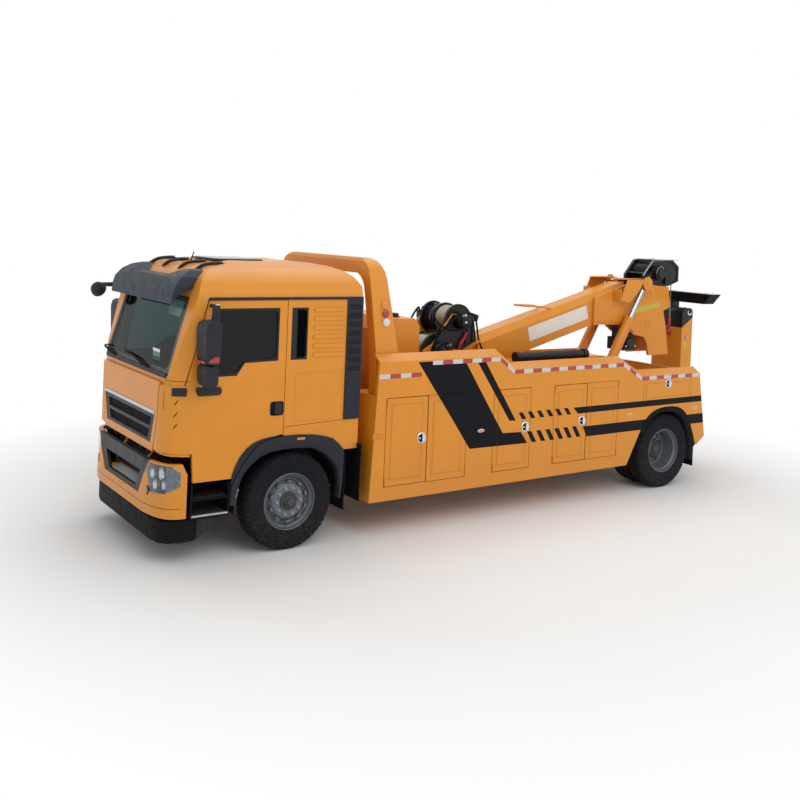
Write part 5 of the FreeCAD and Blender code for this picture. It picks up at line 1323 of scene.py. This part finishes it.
RUNG_Z, LATCH_Z = 0.97, 1.26
for side, sign in SIDES:
    panel = Shape().prism(*on_rear(0.76, 1.19, 1.02, 1.5, 0.004, sign))
    panel.done(f"rear_panel_{side}", "chassis", YELLOW, bevel=0.003)
    # darker-orange films round the rear panel: painted shade along its edge
    lines = Shape()
    for plate in ((0.78, 1.17, 1.04, 1.046), (0.78, 1.17, 1.474, 1.48), (0.78, 0.786, 1.04, 1.48),
                  (1.164, 1.17, 1.04, 1.48)):
        lines.prism(*on_rear(*plate, 0.0046, sign))
    lines.done(f"rear_panel_edge_shades_{side}", "chassis", PANEL_EDGE_SHADE, smooth=0)
    tapes = [("tape", k, (0.77 + 0.14 * k, 0.77 + 0.14 * (k + 1), 1.535, 1.585)) for k in range(3)]
    tapes += [("edge_tape", k, (1.2, 1.24, 1.03 + 0.1125 * k, 1.03 + 0.1125 * (k + 1))) for k in range(4)]
    for word, k, plate in tapes:
        tape = Shape().prism(*on_rear(*plate, TAPE, sign))
        tape.done(f"rear_{word}_{k}_{side}", "chassis", (TAPE_RED, TAPE_WHITE)[k % 2], "signal", smooth=0)
    button = [(-0.004, 0.045), (0.008, 0.045), (0.012, 0.038), (0.006, 0.034), (0.006, 0.001)]
    latch = Shape().lathe("Y", (sign * 0.83, rear_at(LATCH_Z) + 0.004, LATCH_Z), button, 28, True)
    latch.done(f"rear_latch_{side}", "chassis", CHROME)
    rung = [(x, rear_at(RUNG_Z) + out, RUNG_Z) for x, out in ((0.95, -0.003), (0.95, 0.04), (1.12, 0.04),
                                                              (1.12, -0.003))]
    Shape().tube(flipped(rung, sign), 0.011, 10).done(f"rear_handle_{side}", "chassis", BLACK)

# ------------------------------------------------------------------ winches
# name, station, height, how far behind the drum the motor's block sits
WINCHES = [("low", 4.02, 1.99, 0.06), ("high", 4.38, 2.37, -0.06)]
for word, y, z, back in WINCHES:
    centre = (0, y, z)
    coils = [(0.016 * k + dx, r) for k in range(17)
             for dx, r in ((-0.008, 0.176), (-0.004, 0.183), (0, 0.1855), (0.004, 0.183))]
    rope = Shape().lathe("X", centre, [(-0.008, 0.12), *coils, (0.264, 0.12)], 40, True)
    rope.done(f"rope_{word}", "chassis", ROPE, smooth=50)
    steps = [(-0.264, 0.12), (-0.264, 0.165), (-0.235, 0.172), (-0.2, 0.172), (-0.195, 0.15), (-0.15, 0.15),
             (-0.145, 0.18), (-0.09, 0.18), (-0.085, 0.16), (-0.02, 0.16), (-0.02, 0.12)]
    drum = Shape().lathe("X", centre, steps, 36, True)
    for dy, dz in around(16, 0.17):
        drum.box((-0.235, -0.2), (y + dy - 0.01, y + dy + 0.01), (z + dz - 0.01, z + dz + 0.01))
    drum.done(f"winch_clutch_{word}", "chassis", BLACK, smooth=35)
    lever = Shape().tube([(-0.17, y, z + 0.15), (-0.17, y - 0.03, z + 0.21), (-0.15, y - 0.06, z + 0.235)], 0.008, 8, 3)
    lever.disc("Z", (-0.12, y, z + 0.178), 0, 0.02, 0.018, 6)
    lever.disc("Z", (-0.22, y - 0.02, z + 0.168), 0, 0.022, 0.013, 6)
    lever.done(f"winch_lever_{word}", "chassis", CHROME, bevel=0.001)
    middle = [(-0.012, 0.2145), (-0.008, 0.2185), (0.008, 0.2185), (0.012, 0.2145), (0.012, 0.12), (-0.012, 0.12)]
    rims = Shape().torus("X", centre, middle)
    motor = Shape()
    for sign in (1, -1):
        for x in (0.2625, 0.2925):
            ring = [(x - 0.004, 0.2145), (x - 0.002, 0.2185), (x + 0.002, 0.2185), (x + 0.004, 0.2145), (x, 0.2)]
            rims.torus("X", centre, flipped(ring, sign))
        steps = [(0.425, 0.112), (0.445, 0.112), (0.45, 0.104), (0.455, 0.104), (0.458, 0.09), (0.475, 0.086),
                 (0.48, 0.06), (0.51, 0.058), (0.515, 0.05), (0.515, 0.001)]
        motor.lathe("X", centre, flipped(steps, sign), 32, True)
        for k in range(6):
            x = 0.348 + 0.013 * k
            fin = [(x, 0.108), (x, 0.118), (x + 0.006, 0.118), (x + 0.006, 0.108)]
            motor.lathe("X", centre, flipped(fin, sign), 32, True)
        for dy, dz in around(8, 0.096, 4 / 9):
            motor.disc("X", (sign * 0.456, y + dy, z + dz), -0.008, 0.008, 0.009, 8)
        motor.box((sign * 0.47, sign * 0.53), (y + back - 0.045, y + back + 0.045), (z - 0.035, z + 0.075))
    rims.done(f"winch_rims_{word}", "chassis", BLACK, smooth=35)
    motor.done(f"winch_motors_{word}", "chassis", BLACK, smooth=35)
fittings = Shape()
for sign in (1, -1):
    for word, y, z, back in WINCHES:
        block_y = y + back
        for dy in (-0.022, 0.022):
            fittings.disc("Z", (sign * 0.5, block_y + dy, z + 0.075), -0.002, 0.02, 0.015, 6)
            fittings.disc("Z", (sign * 0.5, block_y + dy, z + 0.09), 0, 0.018, 0.011, 12)
        fittings.disc("X", (sign * 0.531, block_y, z), 0, sign * 0.008, 0.016, 6)
fittings.done("winch_fittings", "chassis", CHROME, bevel=0.001)
lines = Shape()
for sign in (1, -1):
    lines.tube(flipped([(0.5, 4.298, 2.46), (0.49, 4.27, 2.475), (0.45, 4.16, 2.38), (0.38, 4.05, 2.26),
                        (0.365, 3.95, 2.1), (0.375, 3.88, 1.8), (0.37, 3.86, 1.4), (0.38, 3.86, 1.225)], sign),
               0.015, 8, 5)
    lines.tube(flipped([(0.5, 4.342, 2.47), (0.5, 4.4, 2.49), (0.44, 4.54, 2.43), (0.39, 4.62, 2.3),
                        (0.375, 4.67, 2.12), (0.38, 4.76, 1.9), (0.38, 4.8, 1.5), (0.38, 4.81, 1.225)], sign),
               0.013, 8, 5)
    lines.tube(flipped([(0.5, 4.058, 2.09), (0.52, 4.03, 2.11), (0.48, 3.95, 2.06), (0.42, 3.86, 1.85),
                        (0.41, 3.84, 1.5), (0.42, 3.84, 1.225)], sign), 0.013, 8, 5)
lines.tube([(0.28, 3.99, 2.42), (0.34, 4.02, 2.34), (0.42, 4.12, 2.27), (0.47, 4.24, 2.26), (0.47, 4.33, 2.3),
            (0.44, 4.4, 2.36)], 0.012, 8, 5)
lines.done("winch_hoses", "chassis", SHADE)
red_lines = Shape()
for dx in (0.0, 0.03):
    red_lines.tube([(0.36 + dx, 4.34, 2.0), (0.37 + dx, 4.36, 2.08), (0.365 + dx, 4.42, 2.15),
                    (0.362 + dx, 4.45, 2.22)], 0.01, 8, 4)
red_lines.done("winch_hoses_red", "chassis", RED)
tray = Shape().prism("side", [(3.985, 2.175), (4.05, 2.115), (4.07, 2.13), (4.01, 2.19)], -0.338, 0.338)
tray.done("winch_tray", "chassis", BLACK, bevel=0.002)
CHEEK_X = 0.3405  # just outside the winch stand
cheeks = Shape()
for sign in (1, -1):
    outline = [(3.93, 2.02), (3.94, 2.075), (4.245, 2.455), (4.5, 2.455), (4.6, 2.4), (4.655, 2.1), (4.42, 1.985),
               (4.28, 2.0), (4.1, 1.99)]
    cheeks.prism("side", outline, sign * CHEEK_X, sign * 0.3475)
    for outline in ([(4.45, 2.03), (4.47, 2.04), (4.53, 2.4), (4.51, 2.4)],
                    [(4.57, 2.08), (4.59, 2.09), (4.59, 2.37), (4.57, 2.37)]):
        cheeks.prism("side", outline, sign * 0.3475, sign * 0.362)
cheeks.tube([(-0.34, 4.62, 2.4), (0.34, 4.62, 2.4)], 0.03, 14)
for sign in (1, -1):
    cheeks.prism("side", rect(3.985, 4.015, 2.0, 2.29), sign * CHEEK_X, sign * 0.352)
    cheeks.prism("side", [(4.52, 2.36), (4.66, 2.36), (4.68, 2.44), (4.58, 2.47), (4.52, 2.45)], sign * CHEEK_X,
                 sign * 0.352)
cheeks.done("winch_cheeks", "chassis", BLACK, bevel=0.002)
shelf = Shape()
for sign in (1, -1):
    shelf.prism("side", [(4.4, 1.965), (4.665, 2.095), (4.665, 2.108), (4.4, 1.978)], sign * CHEEK_X, sign * 0.42)
    shelf.prism("side", [(4.41, 1.88), (4.41, 1.966), (4.425, 1.973), (4.425, 1.88)], sign * CHEEK_X, sign * 0.4)
    shelf.prism("side", [(4.64, 1.9), (4.64, 2.083), (4.655, 2.09), (4.655, 1.9)], sign * CHEEK_X, sign * 0.41)
shelf.done("stand_shelf", "chassis", YELLOW, bevel=0.002)

# ------------------------------------------------------------------ boom
BOOM_TURN = math.radians(15)
BOOM_PIVOT = (4.6, 1.84)


def boom_point(u, v):
    """Along and square to the boom's axis, from its pivot, as (station, z)."""
    c, s = math.cos(BOOM_TURN), math.sin(BOOM_TURN)
    return BOOM_PIVOT[0] + u * c - v * s, BOOM_PIVOT[1] + u * s + v * c


HEAD_X = 0.2395  # just inside the boom head's side
for side, sign in SIDES:
    plate = [boom_point(u, v) for u, v in ((1.16, -0.105), (2.34, -0.105), (2.34, 0.095), (1.16, 0.095))]
    sheet = Shape().prism("side", plate, sign * 0.2005, sign * 0.204)
    sheet.done(f"boom_sign_{side}", "boom", PALE, "yellow_paint", bevel=0.001)
    label = [(7.84, 2.41), (8.41, 2.5), (8.41, 2.58), (7.84, 2.49)]
    Shape().prism("side", label, sign * 0.2405, sign * 0.2418).done(f"head_label_{side}", "boom", LIME)
    ring = [(0.0, 0.064), (0.007, 0.06), (0.007, 0.05), (0.0, 0.046)]
    boss = Shape().lathe("X", (sign * HEAD_X, 8.16, 2.24), flipped(ring, sign), 28, True)
    boss.disc("X", (sign * HEAD_X, 8.47, 2.56), 0, sign * 0.004, 0.014, 14)
    boss.done(f"head_boss_{side}", "boom", YELLOW)
    ribs = Shape()
    for a, b in (((7.05, 2.3), (7.58, 2.3)), ((7.62, 2.28), (7.83, 2.13))):
        d = Vector((b[0] - a[0], b[1] - a[1])).normalized() * 0.009
        ribs.prism("side", [(a[0] + d.y, a[1] - d.x), (b[0] + d.y, b[1] - d.x), (b[0] - d.y, b[1] + d.x),
                            (a[0] - d.y, a[1] + d.x)], sign * HEAD_X, sign * 0.262)
    ribs.done(f"head_ribs_{side}", "boom", YELLOW, bevel=0.002)
    guard = Shape()
    outline = [(7.36, 2.62), (7.43, 2.79), (7.5, 2.944), (7.86, 2.944), (7.82, 2.86), (7.73, 2.74), (7.56, 2.59)]
    guard.prism("side", outline, sign * 0.386, sign * 0.396)
    guard.prism("plan", flipped([(0.21, 7.3), (0.21, 7.9), (0.396, 7.86), (0.396, 7.5)], sign), 2.936, 2.948)
    guard.prism("plan", flipped([(0.24, 7.36), (0.24, 7.372), (0.396, 7.372), (0.396, 7.36)], sign), 2.62, 2.79)
    guard.done(f"rod_guard_{side}", "boom", YELLOW, bevel=0.003)
    cover = [(0.384, 0.105), (0.402, 0.105), (0.41, 0.096), (0.412, 0.04), (0.418, 0.036), (0.42, 0.001)]
    boss = Shape().lathe("X", (0, 7.94, 2.875), flipped(cover, sign), 10, True)
    boss.prism("side", [(7.98, 2.8), (8.06, 2.68), (8.09, 2.69), (8.05, 2.85)], sign * 0.384, sign * 0.398)
    boss.done(f"eye_cover_{side}", "boom", YELLOW, bevel=0.004, smooth=20)
works = Shape().box((-0.17, 0.17), (7.7, 7.97), (1.83, 2.02)).box((-0.12, 0.14), (7.74, 7.92), (2.02, 2.18))
works.lathe("X", (0, 7.82, 1.94), [(0.17, 0.08), (0.196, 0.08), (0.198, 0.07), (0.198, 0.001)], 24, True)
works.done("boom_block", "boom", BLACK, bevel=0.004)
bits = Shape()
for y, z in ((7.74, 1.9), (7.78, 2.12), (7.88, 2.12), (7.94, 1.9)):
    bits.disc("X", (0.172 if z < 2 else 0.142, y, z), -0.004, 0.02, 0.013, 8)
bits.done("boom_block_bolts", "boom", CHROME, bevel=0.001)
edges = Shape()
for sign in (1, -1):
    a, b = boom_point(-0.14, 0.132), boom_point(2.44, 0.132)
    edges.tube([(sign * 0.2, *a), (sign * 0.2, *b)], 0.004, 8)
edges.done("boom_welds", "boom", YELLOW)
loop = Shape().tube([(0.12, 6.2, 2.492), (0.12, 6.05, 2.517), (0.12, 5.75, 2.532), (0.06, 5.67, 2.537),
                     (-0.06, 5.67, 2.537), (-0.12, 5.75, 2.532), (-0.12, 6.05, 2.517), (-0.12, 6.2, 2.492)],
                    0.014, 10, 5)
loop.done("wire_guide", "boom", YELLOW)
pins = Shape()
for sign in (1, -1):
    cap = [(-0.003, 0.062), (0.01, 0.062), (0.013, 0.055), (0.013, 0.001)]
    pins.lathe("X", (sign * 0.345, *BOOM_PIVOT), flipped(cap, sign), 28, True)
    for dy, dz in around(4, 0.042, 0.5):
        pins.disc("X", (sign * 0.357, BOOM_PIVOT[0] + dy, BOOM_PIVOT[1] + dz), 0, sign * 0.008, 0.008, 6)
pins.done("boom_pin_caps", "boom", STEEL, smooth=35)

# ------------------------------------------------------------------ head winch and hook
DRUM = (0, 8.33, 3.03)
coils = [(-0.15 + 0.022 * k + dx, r) for k in range(14)
         for dx, r in ((0, 0.142), (0.004, 0.152), (0.014, 0.152), (0.018, 0.142))]
Shape().lathe("X", DRUM, [(-0.163, 0.1), *coils, (0.163, 0.1)], 36, True).done("head_drum", "boom", BLACK, smooth=30)
frame_bits = Shape()
for sign in (1, -1):
    outline = [(8.06, 2.84), (8.06, 3.0), (8.25, 3.215), (8.69, 3.245), (8.86, 3.13), (8.86, 2.91), (8.65, 2.84)]
    inner = shrunk(outline, 0.03)
    frame_bits.loop([placed([(x, a, b) for a, b in loop], sign)
                     for loop, x in ((outline, 0.201), (outline, 0.212), (inner, 0.212), (inner, 0.201))])
    frame_bits.box((sign * 0.2, sign * 0.24), (8.52, 8.6), (2.86, 3.1))
steps = [(0.201, 0.12), (0.222, 0.12), (0.226, 0.11), (0.3, 0.105), (0.305, 0.085), (0.335, 0.08), (0.34, 0.001)]
frame_bits.lathe("X", DRUM, steps, 28, True)
frame_bits.box((-0.2, 0.2), (8.3, 8.34), (3.2, 3.226)).box((-0.2, 0.2), (8.6, 8.64), (3.21, 3.242))
for y, z in ((8.8, 3.1), (8.12, 3.02)):
    frame_bits.tube([(-0.2, y, z), (0.2, y, z)], 0.02, 12)
frame_bits.done("head_winch_frame", "boom", BLACK, bevel=0.002)
# bright steel tubes along the black cheeks' edges and round the drum: painted highlights
highlights = Shape()
for x in (0.207, -0.207):
    highlights.tube([(x, 8.05, 2.835), (x, 8.05, 3.002), (x, 8.248, 3.222), (x, 8.7, 3.246), (x, 8.868, 3.13)], 0.007, 8)
highlights.tube([(0.3, 8.235, 3.03), (0.3, 8.26, 3.1), (0.3, 8.33, 3.136), (0.3, 8.4, 3.1), (0.3, 8.425, 3.03)],
            0.006, 8, 4)
highlights.done("head_winch_edges", "boom", STEEL, "black_paint")
# a steel film on the black winch top: painted highlight
top_highlight = Shape().box((-0.22, 0.26), (8.3, 8.78), (3.237, 3.246))
top_highlight.done("head_winch_top", "boom", STEEL, "black_paint", bevel=0.002)
wires = Shape()
for dx, dz in ((0.28, 0.0), (0.3, 0.03), (0.26, -0.02)):
    wires.tube([(dx - 0.02, 8.33, 3.13 + dz), (dx + 0.02, 8.2, 3.1 + dz), (dx, 8.02, 2.98), (0.15, 7.82, 2.93),
                (0.1, 7.6, 2.9)], 0.011, 8, 5)
wires.done("head_winch_hoses", "boom", SHADE)
Shape().tube([(0.214, 8.08, 2.93), (0.214, 8.42, 3.1)], 0.009, 8).done("head_winch_brace", "boom", STEEL)

HOOK_X, HOOK_Y = 0.12, 8.798
rope = Shape().tube([(HOOK_X, HOOK_Y, 2.985), (HOOK_X, HOOK_Y, 2.32)], 0.008, 10)
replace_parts(rope.done("hook_rope", "boom", ROPE), "hook")
hook = Shape().tube([(HOOK_X, HOOK_Y, 2.262), (HOOK_X, HOOK_Y, 2.21), (0.09, HOOK_Y, 2.16), (0.074, HOOK_Y, 2.11),
                     (0.092, HOOK_Y, 2.07), (0.13, HOOK_Y, 2.056), (0.165, HOOK_Y, 2.078), (0.174, HOOK_Y, 2.12)],
                    [0.019, 0.02, 0.023, 0.027, 0.028, 0.027, 0.02, 0.009], 14, 5)
hook.lathe("Z", (HOOK_X, HOOK_Y, 2.255), [(0, 0.018), (0.004, 0.026), (0.05, 0.026), (0.06, 0.018), (0.085, 0.012),
                                          (0.09, 0.001)], 20, True)
hook.done("hook_red", "boom", RED, "steel", smooth=40)
latch = Shape().prism("front", [(0.108, 2.178), (0.118, 2.184), (0.168, 2.128), (0.16, 2.122)], HOOK_Y - 0.008,
                      HOOK_Y + 0.008)
latch.done("hook_latch", "boom", STEEL, bevel=0.002)
chain = Shape()
LINK_WIRE = 0.004
for k in range(5):
    turn = Matrix.Rotation(math.radians(90 * (k % 2)), 4, "Z")
    place = Matrix.Translation((HOOK_X, HOOK_Y + FRONT, 2.335 + 0.028 * k)) @ turn
    points = [Vector((0.012 * a, 0, 0.02 * b)) for a, b in around(12, 1)]
    rings = []
    for i, p in enumerate(points):
        out = (points[(i + 1) % 12] - points[i - 1]).normalized().cross(Vector((0, 1, 0)))
        rings.append([place @ (p + Vector((0, a, 0)) + out * b) for a, b in around(6, LINK_WIRE)])
    chain.loop(rings)
chain.done("hook_chain", "boom", STEEL)

# ------------------------------------------------------------------ underlift
# a pale film on the black crossbar's top: painted highlight
plate = Shape().prism("plan", rect(-0.84, 0.84, 8.9, 9.13), 2.7405, 2.749)
plate.done("crossbar_plate", "crossbar", PALE, "black_paint", bevel=0.002)
ends = Shape()
for sign in (1, -1):
    for y in (8.94, 9.09):
        ends.disc("Z", (sign * 0.71, y, 2.7475), 0, 0.007, 0.018, 6)
ends.done("crossbar_bolts", "crossbar", STEEL)
hose = Shape().tube([(0.262, 8.93, 2.45), (0.268, 8.95, 2.475), (0.278, 9.01, 2.478), (0.286, 9.03, 2.45),
                     (0.292, 9.03, 2.4), (0.294, 9.07, 2.372), (0.292, 9.115, 2.4)], 0.013, 10, 5)
hose.done("underlift_lever", "underlift_extension", CHROME)
sticker = Shape()
for sign in (1, -1):
    sticker.prism("side", rect(8.93, 9.02, 1.86, 1.95), sign * 0.3005, sign * 0.3015)
sticker.done("sleeve_label", "underlift_sleeve", LIME)
rams = Shape()
for sign in (1, -1):
    for z in (0.78, 2.02):
        rams.disc("X", (sign * 0.301, 9.015, z), -0.001, sign * 0.012, 0.03, 20)
rams.done("sleeve_pins", "underlift_sleeve", STEEL, bevel=0.002)


# ------------------------------------------------------------------ inside the cab
def cushion(across, along, thick, under, channels):
    """A crowned pad about the origin: x across, y along, z up, with sewn channels over its top."""
    rings = []
    steps = 44
    for j in range(steps + 1):
        v = max(-0.9995, min(0.9995, -math.cos(math.pi * j / steps)))
        half = across / 2 * (1 - abs(v) ** 7) ** (1 / 7) * (1 - 0.05 * (1 - v * v))
        ring = []
        for i in range(25):
            u = -math.cos(math.pi * i / 24)
            rise = (1 - abs(u) ** 4) ** 0.45 * (1 - abs(v) ** 6) ** 0.45
            groove = sum(math.exp(-((v - c) / 0.035) ** 2) for c in channels) * 0.16
            groove += sum(math.exp(-((u - c) / 0.05) ** 2) for c in (-0.68, 0.68)) * 0.12
            ring.append((half * u, along / 2 * v * (1 - 0.03 * (1 - u * u)), thick * rise * (1 - groove)))
        for i in range(1, 24):
            u = math.cos(math.pi * i / 24)
            rise = (1 - abs(u) ** 4) ** 0.3 * (1 - abs(v) ** 6) ** 0.3
            ring.append((half * u, along / 2 * v * (1 - 0.03 * (1 - u * u)), -under * rise))
        rings.append(ring)
    left, right = ([Vector(ring[i]) for ring in rings] for i in (0, 24))
    return Shape().grid(rings), left + right[::-1] + [left[0]]


def piping(loop, place):
    """A sewn bead round a pad's edge."""
    return Shape().tube([p - Vector((0, FRONT, 0)) for p in loop], 0.005, 6).move(place)


SEAT_X = 0.55
SEAT_BACK = Matrix.Rotation(math.radians(83.3), 4, "X")
# name, size (across, along, thick, under), sewn channels, place, lean
PADS = [("base", (0.46, 0.44, 0.1, 0.05), (-0.35, 0.0, 0.35), (1.385, 1.505), Matrix()),
        ("back", (0.46, 0.52, 0.075, 0.05), (-0.45, -0.1, 0.25), (1.655, 1.84), SEAT_BACK),
        ("head", (0.27, 0.17, 0.06, 0.04), (), (1.69, 2.195), SEAT_BACK)]
for side, sign in SIDES:
    for word, size, channels, (y, z), turn in PADS:
        place = Matrix.Translation((sign * SEAT_X, y + FRONT, z)) @ turn
        shape, loop = cushion(*size, channels)
        pad = shape.move(place).done(f"seat_{word}_{side}", "cab", SEAT, smooth=60)
        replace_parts(pad, "seats")
        piping(loop, place).done(f"seat_{word}_piping_{side}", "cab", SHADE, "seat_cloth", smooth=50)
    frame_low = Shape().box((sign * 0.36, sign * 0.74), (1.19, 1.6), (1.345, 1.45))
    frame_low.box((sign * 0.34, sign * 0.76), (1.17, 1.62), (1.44, 1.46))
    for x in (0.48, 0.6):
        frame_low.box((sign * x, sign * (x + 0.02)), (1.695, 1.712), (2.06, 2.15))
    frame_low.done(f"seat_base_frame_{side}", "cab", SHADE, "dark_plastic", bevel=0.006)
    trim = Shape().box((sign * 1.075, sign * 1.1), (0.5, 1.26), (1.46, 1.9))
    trim.box((sign * 1.045, sign * 1.08), (0.72, 1.2), (1.72, 1.77))
    trim.done(f"door_trim_{side}", f"door_{side}", INTERIOR, bevel=0.008)

liner = Shape().box((-1.02, 1.02), (2.185, 2.2), (1.36, 2.86))
liner.box((-0.84, 0.84), (0.66, 2.18), (2.925, 2.94))
liner.box((-0.98, 0.98), (0.3, 2.18), (1.3335, 1.344))
liner.box((-0.29, 0.29), (0.62, 1.75), (1.344, 1.6))
for sign in (1, -1):
    liner.box((sign * 1.05, sign * 1.064), (1.45, 2.18), (1.36, 2.06))
    liner.box((sign * 1.05, sign * 1.064), (1.66, 2.18), (2.06, 2.8))
liner.done("cab_lining", "cab", INTERIOR, bevel=0.004)
Shape().box((-0.95, 0.95), (1.8, 2.18), (1.36, 1.62)).done("bunk_box", "cab", INTERIOR, bevel=0.01)

dash = Shape().prism("side", [(0.33, 1.885), (0.35, 1.95), (0.47, 1.962), (0.495, 1.9), (0.49, 1.885)], 0.34, 0.76)
dash.prism("side", [(0.5, 1.6), (0.5, 1.892), (0.53, 1.9), (0.62, 1.82), (0.6, 1.6)], -0.2, 0.22)
dash.box((-0.8, 0.8), (0.165, 0.19), (1.888, 1.896))
for x in (-0.72, 0.8):
    dash.lathe("Z", (x, 0.42, 1.888), [(0, 0.055), (0.012, 0.055), (0.014, 0.045), (0.006, 0.04), (0.006, 0.001)], 24,
               True)
dash.done("dash_hood", "cab", SHADE, "interior", bevel=0.012, segments=3)
dials = Shape()
for x in (0.46, 0.64):
    dials.lathe("Y", (x, 0.497, 1.925), [(0.0, 0.03), (0.004, 0.03), (0.005, 0.026), (0.0, 0.025)], 28, True)
    dials.prism("front", [(x - 0.002, 1.915), (x + 0.002, 1.915), (x + 0.012, 1.945), (x + 0.01, 1.946)], 0.5, 0.5025)
    for across, up in arc((x, 1.925), (0.022, 0.022), -30, 240, 8):
        dials.disc("Y", (across, 0.5, up), 0, 0.002, 0.0015, 6)
dials.done("dash_dials", "cab", PALE)
Shape().box((-0.45, -0.3), (0.27, 0.35), (1.8905, 1.93)).done("dash_papers", "cab", PALE, bevel=0.004)
Shape().box((-0.12, 0.14), (0.6, 0.612), (1.64, 1.79)).done("dash_screen", "cab", SHADE, "interior", bevel=0.004)
wheel_place = Matrix.Translation((SEAT_X, 0.715 + FRONT, 1.945)) @ Matrix.Rotation(math.radians(-42), 4, "X")
pad = Shape().lathe("Z", (0, -FRONT, 0), [(0.012, 0.062), (0.03, 0.058), (0.036, 0.045), (0.037, 0.001)], 28, True)
pad.move(wheel_place).done("wheel_pad", "steering_wheel", PLASTIC, smooth=40)


# ------------------------------------------------------------------ rounded edges of the CAD nodes
SHALLOW = math.radians(31)
WELD = 0.00005


def smoothing():
    """A modifier's node group that shades smooth across shallow edges."""
    group = bpy.data.node_groups.new("smooth_by_angle", "GeometryNodeTree")
    group.interface.new_socket("Geometry", in_out="INPUT", socket_type="NodeSocketGeometry")
    group.interface.new_socket("Geometry", in_out="OUTPUT", socket_type="NodeSocketGeometry")
    make = group.nodes.new
    start, end = make("NodeGroupInput"), make("NodeGroupOutput")
    merge = make("GeometryNodeMergeByDistance")
    faces, edges = make("GeometryNodeSetShadeSmooth"), make("GeometryNodeSetShadeSmooth")
    merge.inputs["Distance"].default_value = WELD
    edges.domain = "EDGE"
    turn_at, shallow = make("GeometryNodeInputMeshEdgeAngle"), make("FunctionNodeCompare")
    shallow.operation = "LESS_THAN"
    shallow.inputs[1].default_value = SHALLOW
    link = group.links.new
    link(start.outputs[0], merge.inputs[0])
    link(merge.outputs[0], faces.inputs[0])
    link(faces.outputs[0], edges.inputs[0])
    link(turn_at.outputs[0], shallow.inputs[0])
    link(shallow.outputs[0], edges.inputs["Shade Smooth"])
    link(edges.outputs[0], end.inputs[0])
    return group


group = smoothing()
for thing in NODES.values():
    thing.modifiers.new("smooth", "NODES").node_group = group

# bevel width: CAD nodes
EDGES = {0.012: "sun_visor light_arch mirror_left mirror_right hydraulic_tank",
         0.006: "front_panel front_bumper underlift_sleeve underlift_extension",
         0.005: "body_shell upper_grille lower_grille", 0.004: "boom crossbar cab_shell",
         0.003: "winch_stand door_left door_right head_winch entry_steps", 0.002: "mudflaps steering_wheel"}
for width, nodes in EDGES.items():
    for node in nodes.split():
        bevelled(NODES[node], width, angle=40)
